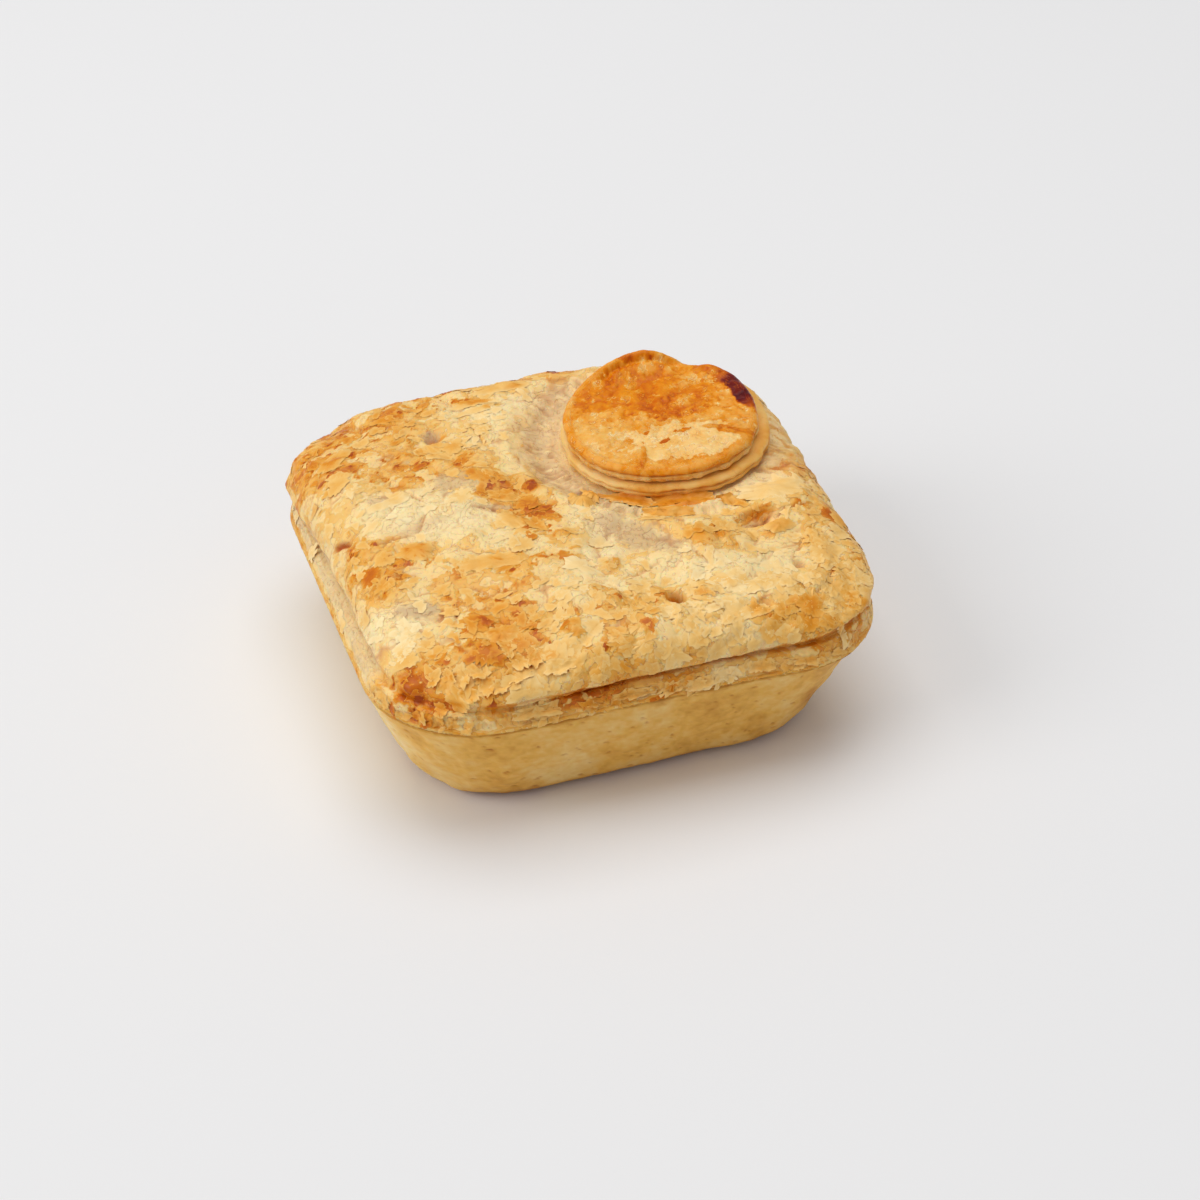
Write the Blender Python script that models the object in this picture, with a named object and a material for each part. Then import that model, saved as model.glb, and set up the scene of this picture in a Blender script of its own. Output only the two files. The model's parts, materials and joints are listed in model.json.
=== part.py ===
"""A square chicken and leek pie, uncut and out of its tin.

A smooth shortcrust case with leaning walls carries a risen, flaky puff lid, and two rounds of pastry lie
one on the other towards one corner of the lid. The origin is the centre of the flat underside, +Z is up,
-Y is the front and +X the right. All named sizes are in millimetres and every mesh is made in metres.
"""

import math

import bmesh
import bpy
from mathutils import Matrix, Vector, noise

MM = 0.001

# Case: rounded squares at the foot and at the rim.
FOOT_HALF = (41.9, 43.0)
FOOT_CORNER = 19.0
FOOT_ROUNDING = 3.4
RIM_HALF = (52.0, 52.6)
RIM_CORNER = 23.0
RIM_Z = 24.8
RIM_LIP = 0.9
WALL_BELLY = 0.4
WALL_UNEVENNESS = 0.35

# Lid: it sits on the rim, splits at a groove and rises above it.
GAP = 0.3
LID_FOOT_Z = RIM_Z + GAP
LID_CENTRE = (2.6, 0.5)
LID_HALF = (52.0, 52.7)
LID_CORNER = 24.0
LID_LEAN = 2.0
LID_BULGES = ((math.radians(144.0), 2.6), (math.radians(42.0), 2.2))
BULGE_REACH = math.radians(21.0)
GROOVE_Z = 29.0
GROOVE_SLOPE = 0.022
GROOVE_DEPTH = 3.6
SHOULDER_Z = 31.4
SHOULDER_RADIUS = 9.5
TOP_Z = 39.4
TOP_SLOPE = 0.04
DOME_RISE = 1.7
CORNER_DROOP = 6.5
LUMP_SIZE = 17.0
LUMP_HEIGHT = 0.75
FLAKE_SIZE = 6.5
FLAKE_HEIGHT = 0.6
FLAKE_TILT = 0.08

# Vent holes through the lid's skin, as (x, y), and the torn pit beside the rounds.
VENT_HOLES = ((7.7, -41.0), (34.0, -38.0), (-20.5, 28.0), (-37.0, -30.5))
VENT_RADIUS = 2.2
VENT_DEPTH = 2.2
PIT_CENTRE = (34.5, -20.0)
PIT_HALF = (4.2, 2.0)
PIT_DEPTH = 2.2

# Rounds: they lie on a tilted seat, sunk a little below the lid's top.
SEAT_CENTRE = (26.2, 15.3)
SEAT_Z = 39.7
SEAT_SLOPE = (0.064, 0.064)
SEAT_MARGIN = 3.6
MOAT_WIDTH = 8.0
FLAP_RADIUS = 26.6
FLAP_WIDTH = 1.9
FLAP_HEIGHT = 1.6
FLAP_DIRECTION = math.radians(-108.0)
FLAP_REACH = math.radians(52.0)
HOLLOW_CENTRE = (9.0, -19.0)
HOLLOW_HALF = (9.0, 5.0)
HOLLOW_TURN = math.radians(-30.0)
HOLLOW_DEPTH = 1.7
LOWER_ROUND_RADIUS = 22.2
LOWER_ROUND_THICKNESS = 2.5
LOWER_ROUND_SHIFT = (1.1, 0.2)
UPPER_ROUND_RADIUS = 20.6
UPPER_ROUND_THICKNESS = 3.2
BLISTER_SIZE = 4.5
BLISTER_HEIGHT = 0.45
CREST_DIRECTION = math.radians(78.0)
CREST_RISE = 2.0

# How finely each sheet is divided across, and how sharply its faces are shaded.
LID_DIVISIONS = 48
CASE_DIVISIONS = 24
ROUND_DIVISIONS = 14
SHARP_ANGLE = math.radians(38.0)


def clear_scene():
    """Removes whatever objects the scene starts with."""
    for old in list(bpy.data.objects):
        bpy.data.objects.remove(old, do_unlink=True)


def pastry(name, colour, roughness):
    """A plain baked-pastry material."""
    material = bpy.data.materials.new(name)
    material.use_nodes = True
    shader = material.node_tree.nodes["Principled BSDF"]
    shader.inputs["Base Color"].default_value = (*colour, 1.0)
    shader.inputs["Roughness"].default_value = roughness
    shader.inputs["Metallic"].default_value = 0.0
    return material


def smooth_step(value):
    """0 below 0, 1 above 1, and a smooth rise between."""
    value = min(max(value, 0.0), 1.0)
    return value * value * (3.0 - 2.0 * value)


def rounded_square_point(turn, half, corner):
    """A point on a rounded square's outline.

    turn runs from 0 to 4, one for each side, anticlockwise from the middle of the front-left corner.
    """
    side = int(turn) % 4
    along, away = half if side % 2 == 0 else (half[1], half[0])
    straight = along - corner
    bend = corner * math.pi / 4
    place = (2.0 * (turn - int(turn)) - 1.0) * (straight + bend)
    angle = max(abs(place) - straight, 0.0) / corner
    x = math.copysign(min(abs(place), straight) + corner * math.sin(angle), place)
    y = -(away - corner + corner * math.cos(angle))
    for _ in range(side):
        x, y = -y, x
    return Vector((x, y))


def turn_of(u, v):
    """The turn, 0 to 4, of the ray through (u, v) on a square sheet that spans -1 to 1."""
    reach = max(abs(u), abs(v))
    if reach < 1e-6:
        return 0.0
    u, v = u / reach, v / reach
    if v <= -1.0 + 1e-6:
        return (u + 1.0) / 2.0
    if u >= 1.0 - 1e-6:
        return 1.0 + (v + 1.0) / 2.0
    if v >= 1.0 - 1e-6:
        return 2.0 + (1.0 - u) / 2.0
    return 3.0 + (1.0 - v) / 2.0


def closed_solid(name, divisions, spread, top_point, side_levels, material):
    """Builds a solid from a square sheet: its top is shaped, its border is drawn down level by level,
    and the underside is closed flat.

    spread gives, for each ring of the sheet from 0 at the centre to 1 at the border, how far out it lies.
    top_point(turn, reach) and each of side_levels, as level(turn), return a point in millimetres.
    """
    mesh = bpy.data.meshes.new(name)
    sheet = bmesh.new()
    turns = sheet.verts.layers.float.new("turn")
    bmesh.ops.create_grid(sheet, x_segments=divisions, y_segments=divisions, size=1.0)
    for vertex in sheet.verts:
        u, v = vertex.co.x, vertex.co.y
        vertex[turns] = turn_of(u, v)
        vertex.co = top_point(vertex[turns], spread(max(abs(u), abs(v)))) * MM
    border = [edge for edge in sheet.edges if edge.is_boundary]
    for level in side_levels:
        drawn = bmesh.ops.extrude_edge_only(sheet, edges=border)["geom"]
        border = [item for item in drawn if isinstance(item, bmesh.types.BMEdge)]
        for vertex in (item for item in drawn if isinstance(item, bmesh.types.BMVert)):
            vertex.co = level(vertex[turns]) * MM
        border = [edge for edge in border if edge.is_boundary]
    bmesh.ops.contextual_create(sheet, geom=border)
    bmesh.ops.recalc_face_normals(sheet, faces=sheet.faces)
    sheet.to_mesh(mesh)
    sheet.free()
    mesh.shade_smooth()
    mesh.set_sharp_from_angle(angle=SHARP_ANGLE)
    mesh.materials.append(material)
    solid = bpy.data.objects.new(name, mesh)
    bpy.context.scene.collection.objects.link(solid)
    return solid


def uneven(point, size, height):
    """Smooth unevenness at a place, between about -height and height."""
    return height * noise.noise(Vector(point) / size)


def case_level(share, inward=0.0, drop=0.0):
    """An outline of the case's wall: share is 0 at the foot and 1 at the rim."""
    half = [f + (r - f) * share - inward for f, r in zip(FOOT_HALF, RIM_HALF)]
    corner = FOOT_CORNER + (RIM_CORNER - FOOT_CORNER) * share - inward
    height = RIM_Z * share - drop
    belly = WALL_BELLY * math.sin(math.pi * share)

    def level(turn):
        flat = rounded_square_point(turn, half, corner)
        dent = uneven((flat.x, flat.y, height), 9.0, WALL_UNEVENNESS) * math.sin(math.pi * share)
        out = 1.0 + (belly + dent) / max(half)
        return Vector((flat.x * out, flat.y * out, height))

    return level


def build_case(material):
    """The shortcrust case, filled: a flat top under the lid, leaning walls and a rounded, flat foot."""
    rim = case_level(1.0, RIM_LIP)

    def top(turn, reach):
        edge = rim(turn)
        return Vector((edge.x * reach, edge.y * reach, RIM_Z))

    wall = [case_level(1.0, 0.0, RIM_LIP)]
    wall += [case_level(share) for share in (0.82, 0.62, 0.42, 0.24)]
    for angle in (0.0, 30.0, 60.0, 90.0):
        lean = math.radians(angle)
        share = FOOT_ROUNDING * (1.0 - math.sin(lean)) / RIM_Z
        wall.append(case_level(share, FOOT_ROUNDING * (1.0 - math.cos(lean))))
    return closed_solid("base_crust", CASE_DIVISIONS, lambda ring: ring, top, wall, material)


def lid_outline(turn, reach=1.0):
    """A place on the lid seen from above, which bulges at its back corners and leans over the right."""
    flat = rounded_square_point(turn, LID_HALF, LID_CORNER) * reach
    facing = math.atan2(flat.y, flat.x)
    for direction, bulge in LID_BULGES:
        off = math.remainder(facing - direction, 2.0 * math.pi) / BULGE_REACH
        flat *= 1.0 + bulge / LID_HALF[0] * math.exp(-off * off)
    x, y = flat.x + LID_CENTRE[0], flat.y + LID_CENTRE[1]
    rightness = max(x, 0.0) / LID_HALF[0]
    x += LID_LEAN * rightness * math.sin(math.pi / 2 * min(max(y / 40.0, -1.0), 1.0))
    return x, y


def plateau(x, y):
    """The lid's top before its shoulder, moat and relief: a low dome that rises to the back."""
    u = (x - LID_CENTRE[0]) / LID_HALF[0]
    v = (y - LID_CENTRE[1]) / LID_HALF[1]
    dome = DOME_RISE * (1.0 - u * u) * (1.0 - v * v)
    return TOP_Z + TOP_SLOPE * y + dome - CORNER_DROOP * (u * v) ** 2


def seat_height(x, y):
    """The tilted plane that the rounds lie on."""
    return SEAT_Z + SEAT_SLOPE[0] * (x - SEAT_CENTRE[0]) + SEAT_SLOPE[1] * (y - SEAT_CENTRE[1])


def flake_relief(x, y):
    """Height of the flake at a place: each is a small tilted plate with a step at its edge."""
    near = noise.voronoi(Vector((x / FLAKE_SIZE, y / FLAKE_SIZE, 0.0)))[1][0]
    step = noise.cell(near * 5.7) * FLAKE_HEIGHT
    lean_x = noise.cell(near * 3.1 + Vector((9.0, 0.0, 0.0))) - 0.5
    lean_y = noise.cell(near * 3.1 + Vector((0.0, 9.0, 0.0))) - 0.5
    tilt = lean_x * (x - near.x * FLAKE_SIZE) + lean_y * (y - near.y * FLAKE_SIZE)
    return step + 2.0 * FLAKE_TILT * tilt


def bowl(x, y, centre, half, turned=0.0):
    """1 in the middle of an oval and 0 outside it, with smooth sides."""
    dx, dy = x - centre[0], y - centre[1]
    along = (dx * math.cos(turned) + dy * math.sin(turned)) / half[0]
    across = (-dx * math.sin(turned) + dy * math.cos(turned)) / half[1]
    return smooth_step(1.0 - math.hypot(along, across) / 1.4)


def lid_relief(x, y):
    """Lumps and flakes, less the vent holes, the torn pit and the hollow before the rounds."""
    height = uneven((x, y, 3.0), LUMP_SIZE, LUMP_HEIGHT * 2.0) + flake_relief(x, y)
    for hole in VENT_HOLES:
        height -= VENT_DEPTH * bowl(x, y, hole, (VENT_RADIUS, VENT_RADIUS))
    height -= PIT_DEPTH * bowl(x, y, PIT_CENTRE, PIT_HALF)
    height -= HOLLOW_DEPTH * bowl(x, y, HOLLOW_CENTRE, HOLLOW_HALF, HOLLOW_TURN)
    return height


def flap_relief(x, y):
    """The curled flap of skin that stands in an arc before the rounds."""
    dx, dy = x - SEAT_CENTRE[0], y - SEAT_CENTRE[1]
    off = math.remainder(math.atan2(dy, dx) - FLAP_DIRECTION, 2.0 * math.pi)
    along = smooth_step(1.5 - 1.5 * abs(off) / FLAP_REACH)
    across = smooth_step(1.0 - abs(math.hypot(dx, dy) - FLAP_RADIUS) / (1.4 * FLAP_WIDTH))
    return FLAP_HEIGHT * along * across


def lid_height(x, y, edge_distance):
    """The lid's top at a place that lies edge_distance inside its border."""
    near_edge = min(max(edge_distance / SHOULDER_RADIUS, 0.0), 1.0)
    shoulder = math.sqrt(1.0 - (1.0 - near_edge) ** 2)
    height = SHOULDER_Z + (plateau(x, y) - SHOULDER_Z + lid_relief(x, y)) * shoulder
    seat = seat_height(x, y)
    away = math.hypot(x - SEAT_CENTRE[0], y - SEAT_CENTRE[1]) - LOWER_ROUND_RADIUS
    if height < seat:
        return seat + (height - seat) * smooth_step((away + 1.5) / SEAT_MARGIN)
    rise = smooth_step((away - SEAT_MARGIN) / MOAT_WIDTH)
    return seat + (height - seat) * rise + flap_relief(x, y) * (away > SEAT_MARGIN)


def lid_edge(turn):
    """The lid's border, at its widest, half way up the risen pastry."""
    x, y = lid_outline(turn)
    return Vector((x, y, SHOULDER_Z + GROOVE_SLOPE * x + uneven((x, y, 0.0), 14.0, 0.8)))


def lid_level(inward, height, onto_rim, wander):
    """An outline of the lid's side: onto_rim is 0 on the lid's own border and 1 on the case's rim."""

    def level(turn):
        own = Vector(lid_outline(turn))
        rim = rounded_square_point(turn, RIM_HALF, RIM_CORNER)
        flat = own.lerp(rim, onto_rim)
        depth = inward
        if inward > 2.0:
            depth *= 0.75 + 0.5 * noise.noise(Vector((flat.x, flat.y, 5.0)) / 20.0)
        flat -= flat.normalized() * (depth + uneven((flat.x, flat.y, height), 5.0, wander))
        lift = (GROOVE_SLOPE * flat.x + uneven((flat.x, flat.y, 0.0), 14.0, 0.4)) * (wander > 0.0)
        return Vector((flat.x, flat.y, height + lift))

    return level


def build_lid(material):
    """The risen puff lid: a flaky top, a rolled shoulder, the groove where it split and a sealed edge."""
    flat_reach = 1.0 - SHOULDER_RADIUS / LID_HALF[0]
    shoulder_rings = 5.0 / (LID_DIVISIONS / 2.0)

    def spread(ring):
        """Even rings on the top, and closer ones down the shoulder's arc."""
        into = (ring - (1.0 - shoulder_rings)) / shoulder_rings
        if into <= 0.0:
            return flat_reach * ring / (1.0 - shoulder_rings)
        return flat_reach + (1.0 - flat_reach) * math.sin(math.pi / 2 * into)

    def top(turn, reach):
        x, y = lid_outline(turn, reach)
        if reach >= 1.0:
            return lid_edge(turn)
        return Vector((x, y, lid_height(x, y, (1.0 - reach) * LID_HALF[0])))

    side = [
        lid_level(0.9, GROOVE_Z + 0.9, 0.1, 0.2),
        lid_level(GROOVE_DEPTH, GROOVE_Z + 0.4, 0.6, 0.2),
        lid_level(GROOVE_DEPTH, GROOVE_Z - 0.3, 0.8, 0.2),
        lid_level(0.8, GROOVE_Z - 0.8, 1.0, 0.35),
        lid_level(0.3, 0.5 * (GROOVE_Z + LID_FOOT_Z) - 0.6, 1.0, 0.3),
        lid_level(0.9, LID_FOOT_Z, 1.0, 0.0),
    ]
    return closed_solid("puff_lid", LID_DIVISIONS, spread, top, side, material)


def crest_lift(flat, crest):
    """How far the back edge of a round curls up at a place."""
    facing = math.cos(math.atan2(flat.y, flat.x) - CREST_DIRECTION)
    return crest * smooth_step(1.8 * facing - 0.8)


def round_level(radius, inward, height, curl=0.0):
    """An outline of a round of pastry, not quite circular: curl lifts it where the edge curls up."""

    def level(turn):
        flat = rounded_square_point(turn, (radius - inward,) * 2, radius - inward)
        flat *= 1.0 + uneven((flat.x, flat.y, radius), 12.0, 0.03)
        return Vector((flat.x, flat.y, height + crest_lift(flat, curl)))

    return level


def build_round(name, radius, thickness, crest, blisters, material):
    """A round of puff pastry with a swollen edge, split once round its side, and a blistered top."""
    top_edge = round_level(radius, 1.2, thickness)

    def top(turn, reach):
        flat = top_edge(turn) * reach
        rise = blisters * uneven((flat.x, flat.y, 7.0), BLISTER_SIZE, 2.0) * (1.0 - reach ** 6)
        rise += crest_lift(flat, crest) * smooth_step(2.5 * reach - 1.5)
        return Vector((flat.x, flat.y, thickness + rise))

    side = [
        round_level(radius, 0.3, 0.86 * thickness, 0.95 * crest),
        round_level(radius, 0.0, 0.62 * thickness, 0.8 * crest),
        round_level(radius, 0.7, 0.5 * thickness, 0.7 * crest),
        round_level(radius, 0.1, 0.38 * thickness, 0.3 * crest),
        round_level(radius, 0.4, 0.12 * thickness),
        round_level(radius, 1.3, 0.0),
    ]
    return closed_solid(name, ROUND_DIVISIONS, lambda ring: ring, top, side, material)


def place_on_seat(solid, shift, lift):
    """Lays a round on the tilted seat, lift above it."""
    x, y = SEAT_CENTRE[0] + shift[0], SEAT_CENTRE[1] + shift[1]
    upright = Vector((-SEAT_SLOPE[0], -SEAT_SLOPE[1], 1.0)).normalized()
    turn = Vector((0.0, 0.0, 1.0)).rotation_difference(upright).to_matrix().to_4x4()
    foot = Vector((x, y, seat_height(x, y))) + upright * lift
    solid.matrix_world = Matrix.Translation(foot * MM) @ turn


def build_pie():
    """Builds the four pieces and hangs them on one empty at the origin."""
    clear_scene()
    shortcrust = pastry("shortcrust", (0.62, 0.37, 0.13), 0.6)
    flaky = pastry("flaky_puff", (0.80, 0.52, 0.20), 0.5)
    pale = pastry("pale_puff", (0.72, 0.50, 0.24), 0.6)
    glazed = pastry("glazed_puff", (0.72, 0.33, 0.06), 0.35)
    pieces = [build_case(shortcrust), build_lid(flaky)]
    lower = build_round(
        "lower_round", LOWER_ROUND_RADIUS, LOWER_ROUND_THICKNESS, 0.0, 0.0, pale
    )
    place_on_seat(lower, LOWER_ROUND_SHIFT, GAP)
    upper = build_round(
        "upper_round", UPPER_ROUND_RADIUS, UPPER_ROUND_THICKNESS, CREST_RISE, BLISTER_HEIGHT, glazed
    )
    place_on_seat(upper, (0.0, 0.0), LOWER_ROUND_THICKNESS + 2.0 * GAP)
    pie = bpy.data.objects.new("pie", None)
    bpy.context.scene.collection.objects.link(pie)
    for piece in (*pieces, lower, upper):
        piece.parent = pie


build_pie()
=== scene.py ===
"""The looks of a square savoury pie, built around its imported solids.

A smooth shortcrust case carries a risen puff lid whose skin has torn into ragged scales, and two rounds
of pastry lie on the lid. Every main piece is a closed skin grown from the same named sizes as its solid,
in millimetres. The loose flakes are scattered by Geometry Nodes, and the torn sheets are laid one by one.
"""

import sys
import itertools
import json
import logging
import math
from dataclasses import dataclass, field
from enum import Enum
from typing import Callable

import bpy
import numpy as np
from mathutils import Matrix, Vector, noise
from mathutils.bvhtree import BVHTree

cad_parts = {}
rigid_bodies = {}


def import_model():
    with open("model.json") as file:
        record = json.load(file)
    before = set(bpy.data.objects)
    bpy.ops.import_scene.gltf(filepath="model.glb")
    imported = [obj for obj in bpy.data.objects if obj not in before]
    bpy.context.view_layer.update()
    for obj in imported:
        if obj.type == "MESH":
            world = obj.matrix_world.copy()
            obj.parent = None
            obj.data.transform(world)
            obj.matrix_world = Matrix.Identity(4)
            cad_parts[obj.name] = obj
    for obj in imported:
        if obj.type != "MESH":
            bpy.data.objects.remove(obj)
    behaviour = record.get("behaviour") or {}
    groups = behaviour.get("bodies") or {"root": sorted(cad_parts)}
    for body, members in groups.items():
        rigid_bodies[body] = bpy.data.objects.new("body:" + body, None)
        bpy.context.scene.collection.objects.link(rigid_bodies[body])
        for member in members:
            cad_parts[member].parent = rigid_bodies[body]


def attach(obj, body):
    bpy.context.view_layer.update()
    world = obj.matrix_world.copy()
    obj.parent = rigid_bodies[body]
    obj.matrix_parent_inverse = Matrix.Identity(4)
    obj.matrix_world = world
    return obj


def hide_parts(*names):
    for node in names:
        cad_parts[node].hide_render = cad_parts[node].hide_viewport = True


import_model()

LOG = logging.getLogger("pie")
MM = 0.001

Numbers = np.ndarray
Mesh = bpy.types.Mesh
Piece = bpy.types.Object
Material = bpy.types.Material
Socket = bpy.types.NodeSocket
Baking = Callable[[Numbers], tuple[Numbers, Numbers]]


# ---------- Unevenness ----------


def smooth(value: Numbers | float) -> Numbers:
    """0 below 0, 1 above 1, and a smooth rise between."""
    value = np.clip(value, 0.0, 1.0)
    return value * value * (3.0 - 2.0 * value)


def lerp(low: Numbers | float, high: Numbers | float, share: Numbers | float) -> Numbers:
    """The value that lies the given share of the way from low to high."""
    return low + (high - low) * share


@dataclass(frozen=True)
class Grain:
    """Smooth seeded unevenness that fills space.

    Args:
        seed: Which of the endless patterns this one is.
    """

    seed: int

    def tables(self) -> tuple[Numbers, Numbers]:
        """The shuffled order of the cells and the slope each one has.

        Returns:
            The order, doubled so that sums stay in range, and 256 unit slopes.
        """
        dice = np.random.default_rng(self.seed)
        order = dice.permutation(256)
        slopes = dice.normal(size=(256, 3))
        return np.tile(order, 2), slopes / np.linalg.norm(slopes, axis=1, keepdims=True)

    def at(self, points: Numbers, size: float | tuple[float, float, float]) -> Numbers:
        """The unevenness at each point.

        Args:
            points: Places in millimetres, one row each.
            size: How far apart the lumps are, the same all ways or one number for each axis.

        Returns:
            One number from about -1 to 1 for each point.
        """
        order, slopes = self.tables()
        place = points / np.asarray(size, float)
        whole = np.floor(place).astype(int)
        part = place - whole
        ease = part * part * part * (part * (part * 6.0 - 15.0) + 10.0)
        total = np.zeros(len(points))
        for corner in itertools.product((0, 1), repeat=3):
            cell = (whole + corner) & 255
            index = order[order[order[cell[:, 0]] + cell[:, 1]] + cell[:, 2]]
            weight = np.prod(np.where(corner, ease, 1.0 - ease), axis=1)
            total += weight * np.einsum("ij,ij->i", slopes[index], part - corner)
        return 1.6 * total

    def layered(self, points: Numbers, size: float, octaves: int = 3, gain: float = 0.5) -> Numbers:
        """Unevenness with finer unevenness on it.

        Args:
            points: Places in millimetres, one row each.
            size: How far apart the largest lumps are.
            octaves: How many sizes there are, each half the one before.
            gain: How high each size is, as a share of the one before.

        Returns:
            One number for each point.
        """
        return sum(gain**n * self.at(points + 31.7 * n, size / 2**n) for n in range(octaves))


def terraces(field: Numbers, step: float, lean: float = 0.7) -> Numbers:
    """Turns a smooth field into overlapping sheets, each with a sharp edge and a slow fall behind it.

    Args:
        field: A number for each place. Each whole number that it passes is the edge of a sheet.
        step: How thick a sheet is.
        lean: How far each sheet falls away behind its edge, as a share of its thickness.

    Returns:
        The height of each place.
    """
    whole = np.floor(field)
    part = field - whole
    return step * (smooth(part / 0.14) - lean * part + (1.0 - lean) * whole)


# ---------- Closed skins ----------


def rounded_square(turn: Numbers, half: tuple[float, float], corner: float) -> Numbers:
    """Points on a rounded square's outline.

    Args:
        turn: From 0 to 4, one for each side, anticlockwise from the middle of the front-left corner.
        half: Half the width and half the depth.
        corner: The corners' radius.

    Returns:
        One row (x, y) for each turn.
    """
    side = np.floor(turn).astype(int) % 4
    along = np.where(side % 2 == 0, half[0], half[1])
    away = np.where(side % 2 == 0, half[1], half[0])
    straight = along - corner
    place = (2.0 * (turn - np.floor(turn)) - 1.0) * (straight + corner * math.pi / 4)
    angle = np.maximum(np.abs(place) - straight, 0.0) / corner
    x = np.copysign(np.minimum(np.abs(place), straight) + corner * np.sin(angle), place)
    y = -(away - corner + corner * np.cos(angle))
    for step in (1, 2, 3):
        x, y = np.where(side >= step, -y, x), np.where(side >= step, x, y)
    return np.column_stack((x, y))


@dataclass
class Skin:
    """The points of a closed skin, before it is made a mesh.

    A square sheet is shaped for the top, its border is drawn down level by level, and a fan closes the
    underside.

    Args:
        divisions: How many faces the sheet has each way.
    """

    divisions: int
    turn: Numbers = field(init=False)
    ring: Numbers = field(init=False)
    border: Numbers = field(init=False)

    def __post_init__(self) -> None:
        """Lays out the square sheet."""
        line = np.linspace(-1.0, 1.0, self.divisions + 1)
        u, v = (axis.ravel() for axis in np.meshgrid(line, line))
        self.ring = np.maximum(np.abs(u), np.abs(v))
        reach = np.maximum(self.ring, 1e-9)
        a, b = u / reach, v / reach
        front, right, back = b <= -1.0 + 1e-6, a >= 1.0 - 1e-6, b >= 1.0 - 1e-6
        turns = [(a + 1.0) / 2.0, 1.0 + (b + 1.0) / 2.0, 2.0 + (1.0 - a) / 2.0]
        self.turn = np.select([front, right, back], turns, 3.0 + (1.0 - b) / 2.0)
        self.turn[self.ring < 1e-6] = 0.0
        n = self.divisions
        index = np.arange((n + 1) ** 2).reshape(n + 1, n + 1)
        self.border = np.concatenate((index[0, :-1], index[:-1, -1], index[-1, :0:-1], index[:0:-1, 0]))

    def build(self, name: str, top: Numbers, levels: list[Numbers]) -> Mesh:
        """Makes the mesh.

        Args:
            name: The mesh's name.
            top: A place in millimetres for each point of the sheet.
            levels: For each level of the side, a place for each point of the sheet's border.

        Returns:
            A closed mesh in metres with its faces pointing out.
        """
        n = self.divisions
        around = len(self.border)
        index = np.arange((n + 1) ** 2).reshape(n + 1, n + 1)
        corners = [index[:-1, :-1], index[:-1, 1:], index[1:, 1:], index[1:, :-1]]
        quads = [np.stack(corners, -1).reshape(-1, 4)]
        upper, start = self.border, len(top)
        for number in range(len(levels)):
            lower = start + number * around + np.arange(around)
            quads.append(np.stack([upper, lower, np.roll(lower, -1), np.roll(upper, -1)], -1))
            upper = lower
        middle = start + len(levels) * around
        fan = np.stack([np.roll(upper, -1), upper, np.full(around, middle)], -1)
        centre = levels[-1].mean(axis=0, keepdims=True)
        points = np.concatenate([top, *levels, centre]) * MM
        mesh = bpy.data.meshes.new(name)
        mesh.from_pydata(points, [], np.concatenate(quads).tolist() + fan.tolist())
        mesh.shade_smooth()
        return mesh


def points_of(mesh: Mesh) -> Numbers:
    """The mesh's points in millimetres, one row each."""
    flat = np.empty(len(mesh.vertices) * 3, np.float32)
    mesh.vertices.foreach_get("co", flat)
    return flat.reshape(-1, 3).astype(float) / MM


def outward_of(mesh: Mesh) -> Numbers:
    """The way out of the mesh at each point, one row each."""
    flat = np.empty(len(mesh.vertices) * 3, np.float32)
    mesh.vertex_normals.foreach_get("vector", flat)
    return flat.reshape(-1, 3).astype(float)


def move_points(mesh: Mesh, points: Numbers) -> None:
    """Puts the mesh's points at the given places, in millimetres."""
    mesh.vertices.foreach_set("co", (points * MM).astype(np.float32).ravel())
    mesh.update()


def mark(mesh: Mesh, name: str, values: Numbers) -> None:
    """Keeps a number, or a direction, for each point of a mesh.

    Args:
        mesh: The mesh.
        name: What the materials call it.
        values: One number or one row of three for each point.
    """
    kind, key = ("FLOAT_VECTOR", "vector") if values.ndim == 2 else ("FLOAT", "value")
    layer = mesh.attributes.new(name, kind, "POINT")
    layer.data.foreach_set(key, values.astype(np.float32).ravel())


def show(name: str, mesh: Mesh, node: str | None = None) -> Piece:
    """Puts a finished mesh in the scene as a piece of the pie.

    Args:
        name: The piece's name.
        mesh: Its mesh, already in place.
        node: The solid that it stands for, if any.

    Returns:
        The piece.
    """
    piece = bpy.data.objects.new(name, mesh)
    bpy.context.scene.collection.objects.link(piece)
    if node:
        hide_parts(node)
    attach(piece, "root")
    mesh.calc_loop_triangles()
    LOG.info("%s: %d triangles", name, len(mesh.loop_triangles))
    return piece


# ---------- Finishes ----------


def colour(red: int, green: int, blue: int) -> tuple[float, float, float, float]:
    """A screen colour, 0 to 255, as a material takes it."""
    linear = [((c / 255 + 0.055) / 1.055) ** 2.4 if c > 10 else c / 255 / 12.92 for c in (red, green, blue)]
    return (*linear, 1.0)


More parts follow.
